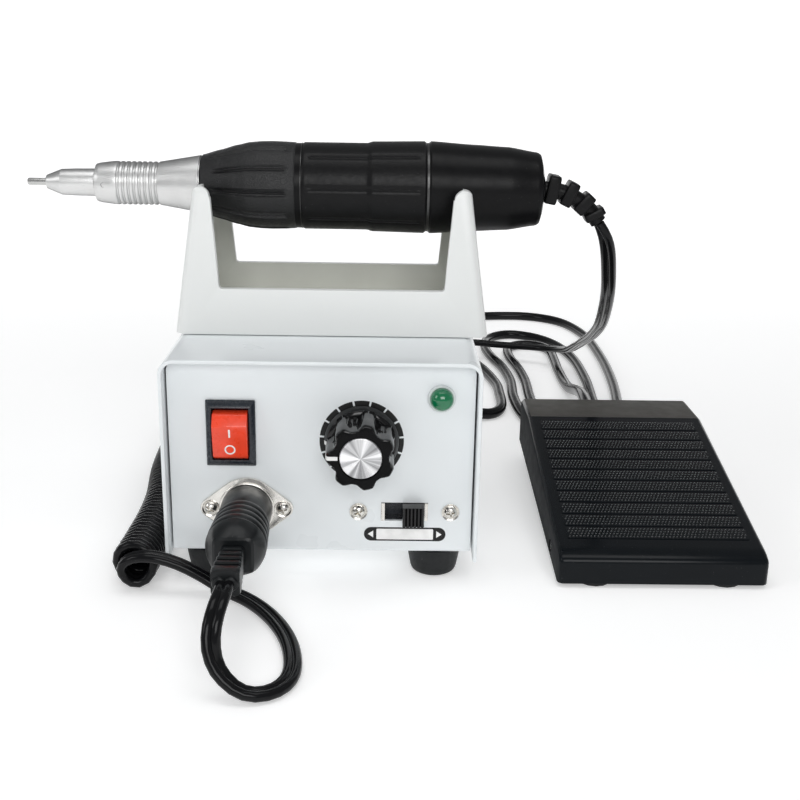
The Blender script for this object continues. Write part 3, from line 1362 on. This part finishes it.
def make_spindle_set():
    """Everything that spins: bur shank, collet, spindle, armature and commutator."""
    length = BUR_REACH + BUR_DEPTH
    rod("bur_shank", BUR_RADIUS, length, along_handpiece(length / 2 - BUR_REACH), "steel", ALONG, 16)
    collet_bore = BUR_RADIUS + FIT / 3
    collet = [
        (COLLET_RADIUS, 0),
        (COLLET_RADIUS, COLLET_LENGTH / 4),
        (COLLET_BACK_RADIUS, COLLET_LENGTH / 2),
        (COLLET_BACK_RADIUS, COLLET_LENGTH),
        (0, COLLET_LENGTH),
        (0, BUR_DEPTH - COLLET_SET_IN + FIT),
        (collet_bore, BUR_DEPTH - COLLET_SET_IN + FIT),
        (collet_bore, 0),
    ]
    turned("collet", collet, along_handpiece(COLLET_SET_IN), "steel", ALONG, 16, closed=True)
    spindle_start = COLLET_SET_IN + COLLET_LENGTH + FIT
    spindle_end = rear_bearing_start() + BEARING_WIDTH + SPINDLE_TAIL
    middle = (spindle_start + spindle_end) / 2
    rod("spindle", SPINDLE_RADIUS, spindle_end - spindle_start, along_handpiece(middle), "steel", ALONG, 16)
    start = magnet_start() + (MAGNET_LENGTH - ARMATURE_LENGTH) / 2
    bore = SPINDLE_RADIUS + FIT
    end = ARMATURE_LENGTH
    armature = [
        (COIL_END_RADIUS, -COIL_END_LENGTH),
        (COIL_END_RADIUS + EDGE, 0),
        (ARMATURE_RADIUS, 0),
        (ARMATURE_RADIUS, end),
        (COIL_END_RADIUS + EDGE, end),
        (COIL_END_RADIUS, end + COIL_END_LENGTH),
        (bore, end + COIL_END_LENGTH),
        (bore, -COIL_END_LENGTH),
    ]
    turned("armature", armature, along_handpiece(start), "copper", ALONG, 16, closed=True)
    commutator = [
        (COMMUTATOR_RADIUS, 0),
        (COMMUTATOR_RADIUS, COMMUTATOR_LENGTH),
        (bore, COMMUTATOR_LENGTH),
        (bore, 0),
    ]
    turned("commutator", commutator, along_handpiece(commutator_start()), "brass", ALONG, 16, closed=True)


def magnet_start():
    return GRIP_START + CAN_REAR_PLATE + ARMATURE_SETBACK


def commutator_start():
    return HOUSING_START + (BRUSH_HOLDER_LENGTH - COMMUTATOR_LENGTH) / 2


def rear_bearing_start():
    return HOUSING_START + BRUSH_HOLDER_LENGTH + FIT


def bearing(name, radius, start):
    bore = SPINDLE_RADIUS + RUN
    profile = [(radius, 0), (radius, BEARING_WIDTH), (bore, BEARING_WIDTH), (bore, 0)]
    turned(name, profile, along_handpiece(start), "steel", ALONG, 16, closed=True)


def make_bearings():
    bearing("front_bearing", BEARING_RADIUS, NOSE_LENGTH * BEARING_SHARE)
    bearing("rear_bearing", REAR_BEARING_RADIUS, rear_bearing_start())


def make_magnet():
    outer = CAN_RADIUS - CAN_WALL - FIT
    bore = outer - MAGNET_THICKNESS
    profile = [(outer, 0), (outer, MAGNET_LENGTH), (bore, MAGNET_LENGTH), (bore, 0)]
    turned("ring_magnet", profile, along_handpiece(magnet_start()), "iron", ALONG, 16, closed=True)


def make_brushes():
    start = HOUSING_START
    outer = CAN_RADIUS - CAN_WALL - FIT
    bore = COMMUTATOR_RADIUS + 2 * RUN
    ring = [(outer, 0), (outer, BRUSH_HOLDER_LENGTH), (bore, BRUSH_HOLDER_LENGTH), (bore, 0)]
    holder = turned("brush_holder", ring, along_handpiece(start), "slate_plastic", ALONG, 16, closed=True)
    x, y, z = along_handpiece(start + BRUSH_HOLDER_LENGTH / 2)
    for name, side in (("brush_lower", -1), ("brush_upper", 1)):
        reach = COMMUTATOR_RADIUS + RUN + BRUSH_SIZE[2] / 2
        slot = (BRUSH_SIZE[0] + 2 * FIT, BRUSH_SIZE[1] + 2 * FIT, 2 * outer)
        cut(holder, block("brush_slot", slot, (x, y, z + side * (bore - FIT + outer)), "steel"))
        block(name, BRUSH_SIZE, (x, y, z + side * reach), "carbon")


# Strain relief at the handpiece's rear: a neck in the housing, then blocks on a bent core
RELIEF_NECK = 0.0030
RELIEF_CORE = 0.0026
RELIEF_BLOCKS = (
    ((0.0733, 0.1176), 0.0042, 0.0098, 4),
    ((0.0791, 0.1161), 0.0038, 0.0084, 24),
    ((0.0841, 0.1130), 0.0040, 0.0079, 42),
    ((0.0877, 0.1097), 0.0034, 0.0076, 58),
)
RELIEF_DEPTH = 0.0080
RELIEF_TIP = (0.0893, 0.1071)
RELIEF_POINTS = 14


def make_strain_relief():
    start = along_handpiece(HANDPIECE_LENGTH - HOUSING_FLOOR)
    path = [start, along_handpiece(HANDPIECE_LENGTH)]
    path += [(x, AXIS_Y, z) for (x, z), _, _, _ in RELIEF_BLOCKS]
    path.append((RELIEF_TIP[0], AXIS_Y, RELIEF_TIP[1]))
    points = spread_points(smooth_route(path), RELIEF_POINTS)
    relief = solid_tube("strain_relief", points, RELIEF_CORE, "black_plastic")
    for (x, z), width, height, lean in RELIEF_BLOCKS:
        size = (width, RELIEF_DEPTH, height)
        turn = (0, math.radians(lean), 0)
        unite(relief, soften(block("relief_block", size, (x, AXIS_Y, z), "steel", turn), EDGE))


def hand_cord_start():
    """Where the handpiece's cord leaves the strain relief, and the way it points."""
    (x0, z0), _, _, _ = RELIEF_BLOCKS[-1]
    tip = Vector((RELIEF_TIP[0], AXIS_Y, RELIEF_TIP[1]))
    way = (tip - Vector((x0, AXIS_Y, z0))).normalized()
    return tip + way * FIT, way


# Foot pedal
BASE_THICKNESS = 0.0020
BASE_CLEAR = 0.0013
BASE_INSET = 0.0011
BASE_WALL_HEIGHT = 0.0085
TREADLE_EDGE = 0.0014
TREADLE_REAR_EDGE = 0.0100
TREADLE_CHAMFER = 0.0040
TREADLE_CHAMFER_DROP = 0.0019
TREADLE_CORNER = 0.0020
REAR_DROP = 0.0004
PEDAL_FOOT_RADIUS = 0.0055
PEDAL_FOOT_INSET_X = 0.0125
PEDAL_FOOT_SETBACK = 0.0066
PEDAL_FOOT_HEIGHT = 0.0010
PEDAL_FOOT_STUD = 0.0023
TREAD_START = 0.0097
TREAD_END = 0.0876
TREAD_WIDTH = 0.0586
TREAD_PROUD = 0.0005
TREAD_RIBS = 11
TREAD_RIB_SHARE = 0.62
SPRING_PLACE_SHARE = 0.772
SPRING_AT = PEDAL_LENGTH * SPRING_PLACE_SHARE
SPRING_RADIUS = 0.0040
SPRING_WIRE = 0.0006
SPRING_TURNS = 5
SPRING_SEAT_RADIUS = 0.0028
SPRING_SEAT_HEIGHT = 0.0030
SWITCH_PLACE_SHARE = 0.5263
SWITCH_AT = PEDAL_LENGTH * SWITCH_PLACE_SHARE
SWITCH_SIZE = (0.0180, 0.0090, 0.0070)
PLUNGER_RADIUS = 0.0014
PLUNGER_PROUD = 0.0040
PLUNGER_SINK = 0.0034
PRESS_BOSS_RADIUS = 0.0030
GLAND_SETBACK = 0.0330
GLAND_HEIGHT = 0.0095
GLAND_RADIUS = 0.0040
GLAND_FLANGE_RADIUS = 0.0050
GLAND_FLANGE_WIDTH = 0.0015
GLAND_LENGTH = 0.0165
GLAND_END_RADIUS = 0.0032
GLAND_WALL_HEIGHT = 0.0160
GLAND_WALL_HALF = 0.0085
GLAND_NOTCH_HALF = 0.0064
GLAND_NOTCH_TOP = 0.0190


def pedal_point(across, back, up):
    """A bench place from distances across, back and up from the pedal's front left corner."""
    return (PEDAL_SIDE + across, PEDAL_FRONT + back, up)


def slope():
    return (PEDAL_BACK_HEIGHT - PEDAL_FRONT_HEIGHT) / (PEDAL_SLOPE_LENGTH - TREADLE_CHAMFER)


def treadle_top(back):
    """Height of the treadle's sloping top at this distance behind its front."""
    return PEDAL_FRONT_HEIGHT + (back - TREADLE_CHAMFER) * slope()


def treadle_outline(points):
    """Outline points measured from the pedal's front and the bench, moved to start from the hinge pin."""
    return [(back - PIN_SETBACK, up - PIN_HEIGHT) for back, up in points]


def make_treadle():
    """The pedal's upper shell, with its origin on the hinge pin."""
    outer = [
        (0, TREADLE_EDGE),
        (0, PEDAL_FRONT_HEIGHT - TREADLE_CHAMFER_DROP),
        (TREADLE_CHAMFER, PEDAL_FRONT_HEIGHT),
        (PEDAL_SLOPE_LENGTH, PEDAL_BACK_HEIGHT),
        (PEDAL_LENGTH, PEDAL_BACK_HEIGHT - REAR_DROP),
        (PEDAL_LENGTH, TREADLE_REAR_EDGE),
    ]
    wall = PEDAL_WALL
    inner = [
        (wall, -OVERRUN),
        (wall, PEDAL_FRONT_HEIGHT - TREADLE_CHAMFER_DROP - wall / 2),
        (TREADLE_CHAMFER, PEDAL_FRONT_HEIGHT - wall),
        (PEDAL_SLOPE_LENGTH, PEDAL_BACK_HEIGHT - wall),
        (PEDAL_LENGTH - wall, PEDAL_BACK_HEIGHT - REAR_DROP - wall),
        (PEDAL_LENGTH - wall, -OVERRUN),
    ]
    pin = pedal_point(PEDAL_WIDTH / 2, PIN_SETBACK, PIN_HEIGHT)
    treadle = plate("treadle", [treadle_outline(outer)], PEDAL_WIDTH, pin, "gloss_black", ACROSS)
    soften(treadle, TREADLE_CORNER / 2)
    hollow_width = PEDAL_WIDTH - 2 * wall
    cut(treadle, plate("treadle_hollow", [treadle_outline(inner)], hollow_width, pin, "steel", ACROSS))
    ribs = plate("tread_ribs", [treadle_outline(tread_outline())], TREAD_WIDTH, pin, "rubber", ACROSS)
    unite(treadle, ribs)
    boss_bottom = plunger_top() + FIT
    boss_top = treadle_top(SWITCH_AT) - wall / 2
    boss = pedal_point(PEDAL_WIDTH / 2, SWITCH_AT, (boss_bottom + boss_top) / 2)
    unite(treadle, rod("press_boss", PRESS_BOSS_RADIUS, boss_top - boss_bottom, boss, "steel", UP, 16))
    cut(treadle, rod("pin_hole", PIN_RADIUS + RUN, PEDAL_WIDTH + 2 * OVERRUN, pin, "steel", ALONG, 20))
    notch_height = GLAND_NOTCH_TOP + OVERRUN
    notch = pedal_point(GLAND_SETBACK, PEDAL_LENGTH - wall / 2, GLAND_NOTCH_TOP - notch_height / 2)
    size = (2 * GLAND_NOTCH_HALF, wall + 2 * OVERRUN, notch_height)
    cut(treadle, block("gland_notch", size, notch, "steel"))


def tread_outline():
    """The ribbed patch of the treadle's top from the side: cross ribs that stand above the slope."""
    pitch = (TREAD_END - TREAD_START) / TREAD_RIBS
    upper = []
    for rib in range(TREAD_RIBS):
        start = TREAD_START + rib * pitch
        end = start + pitch * TREAD_RIB_SHARE
        upper += [(start, treadle_top(start)), (start, treadle_top(start) + TREAD_PROUD)]
        upper += [(end, treadle_top(end) + TREAD_PROUD), (end, treadle_top(end))]
    last = upper[-1][0]
    under = PEDAL_WALL / 2
    lower = [(last, treadle_top(last) - under), (TREAD_START, treadle_top(TREAD_START) - under)]
    return list(reversed([(back, up + FIT / 3) for back, up in upper] + lower))


def base_width():
    return PEDAL_WIDTH - 2 * (PEDAL_WALL + BASE_INSET)


def make_pedal_base():
    """The pedal's base: a tray with low side walls, and a higher piece of rear wall for the gland."""
    front = PEDAL_WALL + 2 * BASE_INSET
    back = PEDAL_LENGTH - PEDAL_WALL - 2 * BASE_INSET
    height = BASE_WALL_HEIGHT - BASE_CLEAR
    size = (base_width(), back - front, height)
    middle = (front + back) / 2
    base = block(
        "pedal_base", size, pedal_point(PEDAL_WIDTH / 2, middle, BASE_CLEAR + height / 2), "black_plastic"
    )
    for across in (PEDAL_FOOT_INSET_X, PEDAL_WIDTH - PEDAL_FOOT_INSET_X):
        for from_front in (PEDAL_FOOT_SETBACK, PEDAL_LENGTH - 2 * PEDAL_FOOT_SETBACK):
            low = pedal_point(across, from_front, PEDAL_FOOT_HEIGHT / 2)
            unite(base, rod("foot", PEDAL_FOOT_RADIUS, PEDAL_FOOT_HEIGHT, low, "rubber", UP, 14))
            stud_height = BASE_CLEAR + BASE_THICKNESS / 2 - PEDAL_FOOT_HEIGHT / 2
            stud = pedal_point(across, from_front, PEDAL_FOOT_HEIGHT / 2 + stud_height / 2)
            unite(base, rod("foot_stud", PEDAL_FOOT_STUD, stud_height, stud, "rubber", UP, 8))
    riser_height = GLAND_WALL_HEIGHT - BASE_CLEAR
    riser = pedal_point(GLAND_SETBACK, back - PEDAL_WALL / 2, BASE_CLEAR + riser_height / 2)
    unite(base, block("gland_wall", (2 * GLAND_WALL_HALF, PEDAL_WALL, riser_height), riser, "steel"))
    hollow = (size[0] - 2 * PEDAL_WALL, size[1] - 2 * PEDAL_WALL, height + OVERRUN)
    hollow_z = BASE_CLEAR + BASE_THICKNESS + hollow[2] / 2
    cut(base, block("base_hollow", hollow, pedal_point(PEDAL_WIDTH / 2, middle, hollow_z), "steel"))
    seat_height = SPRING_SEAT_HEIGHT + OVERRUN
    seat = pedal_point(PEDAL_WIDTH / 2, SPRING_AT, base_floor() + SPRING_SEAT_HEIGHT - seat_height / 2)
    unite(base, rod("spring_seat", SPRING_SEAT_RADIUS, seat_height - OVERRUN / 2, seat, "steel", UP, 16))
    pin_hole = pedal_point(PEDAL_WIDTH / 2, PIN_SETBACK, PIN_HEIGHT)
    cut(base, rod("pin_hole", PIN_RADIUS + FIT / 3, PEDAL_WIDTH, pin_hole, "steel", ALONG, 20))
    gland = pedal_point(GLAND_SETBACK, back, GLAND_HEIGHT)
    cut(base, rod("gland_hole", GLAND_RADIUS + FIT, 2 * PEDAL_WALL + OVERRUN, gland, "steel", FRONT, 20))


def base_floor():
    return BASE_CLEAR + BASE_THICKNESS


def plunger_top():
    return base_floor() + FIT + SWITCH_SIZE[2] + PLUNGER_PROUD


def make_pedal_inside():
    pin = pedal_point(PEDAL_WIDTH / 2, PIN_SETBACK, PIN_HEIGHT)
    rod("pedal_pin", PIN_RADIUS, PEDAL_WIDTH - 2 * EDGE, pin, "steel", ALONG, 20)
    switch_z = base_floor() + FIT + SWITCH_SIZE[2] / 2
    place = pedal_point(PEDAL_WIDTH / 2, SWITCH_AT, switch_z)
    switch = block("pedal_switch", SWITCH_SIZE, place, "slate_plastic")
    hole_depth = PLUNGER_SINK + PEDAL_PRESS * (SWITCH_AT - PIN_SETBACK) + 2 * RUN + OVERRUN
    hole_top = base_floor() + FIT + SWITCH_SIZE[2] + OVERRUN
    hole = pedal_point(PEDAL_WIDTH / 2, SWITCH_AT, hole_top - hole_depth / 2)
    cut(switch, rod("plunger_hole", PLUNGER_RADIUS + RUN, hole_depth, hole, "steel", UP, 16))
    length = PLUNGER_PROUD + PLUNGER_SINK
    plunger = pedal_point(PEDAL_WIDTH / 2, SWITCH_AT, plunger_top() - length / 2)
    rod("pedal_plunger", PLUNGER_RADIUS, length, plunger, "red_plastic", UP, 16)
    make_pedal_spring()
    back = PEDAL_LENGTH - PEDAL_WALL - 2 * BASE_INSET
    wall_face = PEDAL_FRONT + back + FIT
    gland = [
        (0, -PEDAL_WALL - 3 * FIT),
        (GLAND_RADIUS, -PEDAL_WALL - 3 * FIT),
        (GLAND_RADIUS, 0),
        (GLAND_FLANGE_RADIUS, 0),
        (GLAND_FLANGE_RADIUS, GLAND_FLANGE_WIDTH),
        (GLAND_RADIUS, GLAND_FLANGE_WIDTH),
        (GLAND_END_RADIUS, GLAND_LENGTH),
        (0, GLAND_LENGTH),
    ]
    x = pedal_point(GLAND_SETBACK, 0, 0)[0]
    turned("pedal_gland", gland, (x, wall_face, GLAND_HEIGHT), "rubber", BACK)


def make_pedal_spring():
    """A compression spring between the base and the treadle."""
    x, y, low = pedal_point(PEDAL_WIDTH / 2, SPRING_AT, base_floor() + FIT + SPRING_WIRE)
    under = treadle_top(SPRING_AT - SPRING_RADIUS) - PEDAL_WALL / math.cos(math.atan(slope()))
    high = under - SPRING_WIRE - 2 * FIT
    points = []
    steps = SPRING_TURNS * CURL_STEPS
    for step in range(steps + 1):
        angle = 2 * math.pi * step / CURL_STEPS
        place = (x + SPRING_RADIUS * math.cos(angle), y + SPRING_RADIUS * math.sin(angle))
        points.append((*place, low + (high - low) * step / steps))
    tube("pedal_spring", points, SPRING_WIRE, "steel", 1)
    gap = least_self_gap(points, 2 * SPRING_WIRE, math.pi * SPRING_RADIUS)
    print(f"pedal_spring: least gap to itself {gap * 1000:.2f} mm")


def pedal_cord_end():
    back = PEDAL_LENGTH - PEDAL_WALL - 2 * BASE_INSET
    x, y, z = pedal_point(GLAND_SETBACK, back + FIT + GLAND_LENGTH + FIT, GLAND_HEIGHT)
    return (x, y, z)


# Cord routes, as bench places chosen by hand
DRAPE_ROUTE = (
    (0.0942, 0.0595, 0.0965),
    (0.0968, 0.0690, 0.0880),
    (0.0997, 0.0820, 0.0780),
    (0.1043, 0.1130, 0.0595),
    (0.1085, 0.1500, 0.0450),
    (0.1107, 0.1850, 0.0325),
    (0.1130, 0.2180, 0.0215),
    (0.1120, 0.2420, 0.0130),
    (0.1040, 0.2580, 0.0094),
    (0.0907, 0.2630, 0.0090),
    (0.0780, 0.2660, 0.0090),
    (0.0640, 0.2700, 0.0090),
    (0.0480, 0.2720, 0.0062),
    (0.0300, 0.2700, 0.0030),
    (0.0050, 0.2620, 0.0026),
    (-0.0200, 0.2450, 0.0026),
    (-0.0420, 0.2210, 0.0027),
    (-0.0560, 0.1950, 0.0042),
)
CURL_AXIS = (
    (-0.0615, 0.1720, 0.0075),
    (-0.0630, 0.1500, 0.0076),
    (-0.0625, 0.1250, 0.0076),
    (-0.0618, 0.1000, 0.0076),
    (-0.0605, 0.0750, 0.0076),
    (-0.0575, 0.0500, 0.0076),
    (-0.0568, 0.0300, 0.0078),
    (-0.0572, 0.0120, 0.0081),
    (-0.0574, -0.0060, 0.0083),
)
LOOP_ROUTE = (
    (-0.0236, -0.0575, 0.0232),
    (-0.0240, -0.0612, 0.0198),
    (-0.0240, -0.0632, 0.0150),
    (-0.0228, -0.0645, 0.0100),
    (-0.0198, -0.0660, 0.0056),
    (-0.0150, -0.0675, 0.0032),
    (-0.0087, -0.0661, 0.0026),
    (-0.0048, -0.0622, 0.0026),
    (-0.0033, -0.0570, 0.0026),
    (-0.0033, -0.0500, 0.0026),
    (-0.0050, -0.0400, 0.0026),
    (-0.0090, -0.0295, 0.0026),
    (-0.0148, -0.0199, 0.0026),
    (-0.0225, -0.0118, 0.0028),
    (-0.0300, -0.0078, 0.0034),
    (-0.0365, -0.0066, 0.0064),
    (-0.0420, -0.0070, 0.0106),
)
PEDAL_ROUTE = (
    (0.0343, 0.1615, 0.0257),
    (0.0362, 0.1672, 0.0242),
    (0.0404, 0.1712, 0.0206),
    (0.0458, 0.1719, 0.0157),
    (0.0510, 0.1700, 0.0105),
    (0.0560, 0.1671, 0.0062),
    (0.0612, 0.1652, 0.0034),
    (0.0665, 0.1659, 0.0026),
    (0.0710, 0.1702, 0.0026),
    (0.0734, 0.1780, 0.0026),
    (0.0742, 0.1870, 0.0026),
    (0.0743, 0.1980, 0.0026),
    (0.0745, 0.2110, 0.0026),
    (0.0715, 0.2320, 0.0026),
    (0.0665, 0.2520, 0.0026),
    (0.0590, 0.2740, 0.0026),
    (0.0510, 0.2960, 0.0026),
    (0.0480, 0.3220, 0.0026),
    (0.0560, 0.3440, 0.0026),
    (0.0720, 0.3550, 0.0026),
    (0.0900, 0.3590, 0.0026),
    (0.1070, 0.3580, 0.0026),
    (0.1230, 0.3470, 0.0026),
    (0.1330, 0.3180, 0.0026),
    (0.1351, 0.2694, 0.0026),
    (0.1327, 0.2222, 0.0026),
    (0.1290, 0.1900, 0.0026),
    (0.1245, 0.1640, 0.0026),
    (0.1160, 0.1470, 0.0026),
    (0.1030, 0.1405, 0.0026),
    (0.0905, 0.1460, 0.0026),
    (0.0830, 0.1620, 0.0026),
    (0.0805, 0.1900, 0.0026),
    (0.0818, 0.2200, 0.0026),
    (0.0800, 0.2450, 0.0026),
    (0.0760, 0.2660, 0.0026),
    (0.0745, 0.2880, 0.0026),
    (0.0790, 0.3050, 0.0026),
    (0.0900, 0.3135, 0.0026),
    (0.1030, 0.3080, 0.0026),
    (0.1130, 0.2935, 0.0026),
    (0.1189, 0.2686, 0.0026),
    (0.1198, 0.2250, 0.0026),
    (0.1175, 0.1917, 0.0026),
    (0.1161, 0.1735, 0.0026),
    (0.1138, 0.1655, 0.0026),
    (0.1088, 0.1600, 0.0026),
    (0.1022, 0.1580, 0.0026),
    (0.0956, 0.1600, 0.0026),
    (0.0907, 0.1655, 0.0026),
    (0.0887, 0.1735, 0.0026),
    (0.0882, 0.1920, 0.0026),
    (0.0892, 0.2200, 0.0026),
    (0.0880, 0.2450, 0.0026),
    (0.0860, 0.2620, 0.0026),
    (0.0859, 0.2770, 0.0026),
    (0.0875, 0.2845, 0.0026),
    (0.0917, 0.2893, 0.0026),
    (0.0975, 0.2910, 0.0026),
    (0.1033, 0.2893, 0.0026),
    (0.1076, 0.2845, 0.0026),
    (0.1092, 0.2770, 0.0026),
    (0.1091, 0.2620, 0.0026),
    (0.1083, 0.2350, 0.0026),
    (0.1086, 0.2080, 0.0034),
    (0.1096, 0.1900, 0.0072),
    (0.1094, 0.1740, 0.0104),
    (0.1085, 0.1560, 0.0108),
    (0.1076, 0.1420, 0.0100),
)
DRAPE_POINTS = 42
LOOP_POINTS = 28
PEDAL_CORD_POINTS = 66
CURL_STEPS = 8
ROUTE_SPACING = 0.0015
ROUTE_SMOOTHING = 10
CURL_END_TURN = 0.25
CURL_RAMP_TURNS = 1.5
CURL_FLARE_TURNS = 3
CURL_LEAD = 0.0060


def curl_points():
    """A curly cord's centreline: a straight lead, then a helix that grows and ends in wider curls."""
    axis = smooth_route(CURL_AXIS, 24)
    length = route_length(axis)
    turns = round((length - CURL_LEAD) / CURL_PITCH) + CURL_END_TURN
    steps = int(turns * CURL_STEPS)
    travelled = [0.0]
    for first, second in zip(axis, axis[1:]):
        travelled.append(travelled[-1] + (second - first).length)

    def axis_at(distance):
        index = 0
        while index < len(axis) - 2 and travelled[index + 1] < distance:
            index += 1
        part = (distance - travelled[index]) / (travelled[index + 1] - travelled[index])
        return axis[index].lerp(axis[index + 1], part), (axis[index + 1] - axis[index]).normalized()

    points = [axis[0]]
    for step in range(steps + 1):
        turn = step / CURL_STEPS
        distance = CURL_LEAD + (length - CURL_LEAD) * step / steps
        middle, way = axis_at(min(distance, length))
        side = way.cross(Vector((0, 0, 1))).normalized()
        up = side.cross(way)
        ramp = min(turn / CURL_RAMP_TURNS, 1)
        ramp = ramp * ramp * (3 - 2 * ramp)
        flare = max(0, (turn - (turns - CURL_FLARE_TURNS)) / CURL_FLARE_TURNS)
        radius = (CURL_RADIUS + (LAST_CURL_RADIUS - CURL_RADIUS) * flare) * ramp
        # The helix ends at its top, where it moves towards the box.
        angle = 2 * math.pi * (turn - turns) + math.pi / 2
        points.append(middle + (up * math.sin(angle) + side * math.cos(angle)) * radius)
    return points


def make_cords():
    start, way = hand_cord_start()
    curl = curl_points()
    lead = (curl[1] - curl[0]).normalized()
    curl_start = curl[0]
    drape_end = curl_start - lead * FIT
    drape = [start, start + way * HAND_CORD, *DRAPE_ROUTE, drape_end - lead * HAND_CORD, drape_end]
    drape_points = square_ends(spread_points(smooth_route(drape), DRAPE_POINTS), HAND_CORD, way, lead)
    tube("handpiece_cord", drape_points, HAND_CORD / 2, "cord_black", 2)
    tail = curl[-1] - curl[-2]
    tail = Vector((tail.x, tail.y, 0)).normalized()
    curl.append(curl[-1] + tail * HAND_CORD)
    tube("curly_cord", curl, HAND_CORD / 2, "cord_black", 1)
    gap = least_self_gap(curl, HAND_CORD, math.pi * CURL_RADIUS)
    print(f"curly_cord: least gap to itself {gap * 1000:.2f} mm, length {route_length(curl) * 1000:.0f} mm")
    plug_end = Vector(plug_cord_start())
    straight = Vector((0, -HAND_CORD, 0))
    loop_end = curl[-1] + tail * FIT
    loop = [plug_end, plug_end + straight, *LOOP_ROUTE, loop_end + tail * HAND_CORD, loop_end]
    loop_points = square_ends(spread_points(smooth_route(loop), LOOP_POINTS), HAND_CORD, straight, -tail)
    tube("plug_cord", loop_points, HAND_CORD / 2, "cord_black", 2)
    pedal_start = Vector(pedal_plug_end())
    pedal_end = Vector(pedal_cord_end())
    run = Vector((0, PEDAL_CORD, 0))
    route = [pedal_start, pedal_start + run / 2, *PEDAL_ROUTE, pedal_end + run, pedal_end]
    pedal_points = spread_points(smooth_route(route), PEDAL_CORD_POINTS)
    pedal_points = square_ends(pedal_points, PEDAL_CORD, run, -run)
    tube("pedal_cord", pedal_points, PEDAL_CORD / 2, "cord_black", 2)
    runs = {"handpiece_cord": drape_points, "plug_cord": loop_points, "pedal_cord": pedal_points}
    for name, points in runs.items():
        print(f"{name}: length {route_length(points) * 1000:.0f} mm")


def bench_shift():
    """Moves the set so that its origin lies under the middle of everything but the free cords."""
    least_x = NOSE_PLACE - BUR_REACH
    most_x = PEDAL_SIDE + PEDAL_WIDTH
    least_y = PANEL_FRONT - KNOB_LIFT - KNOB_HEIGHT + KNOB_CAP_SINK - FIT - KNOB_CAP_HEIGHT
    most_y = REAR_OUTSIDE + FIT + FUSE_FLANGE_HEIGHT + FUSE_CAP_HEIGHT
    return (-(least_x + most_x) / 2, -(least_y + most_y) / 2, 0)


make_cover()
make_chassis()
make_panel_screws()
make_feet()
make_transformer()
make_electronics()
make_rocker_switch()
make_speed_control()
make_lamp()
make_direction_switch()
make_socket()
make_plug()
make_rear_pieces()
make_cradle()
make_nose()
make_chuck_sleeve()
make_motor_can()
make_grip_and_housing()
make_spindle_set()
make_bearings()
make_magnet()
make_brushes()
make_strain_relief()
make_treadle()
make_pedal_base()
make_pedal_inside()
make_cords()
BENCH.location = bench_shift()
print("bench shift in mm:", [round(value * 1000, 3) for value in BENCH.location])
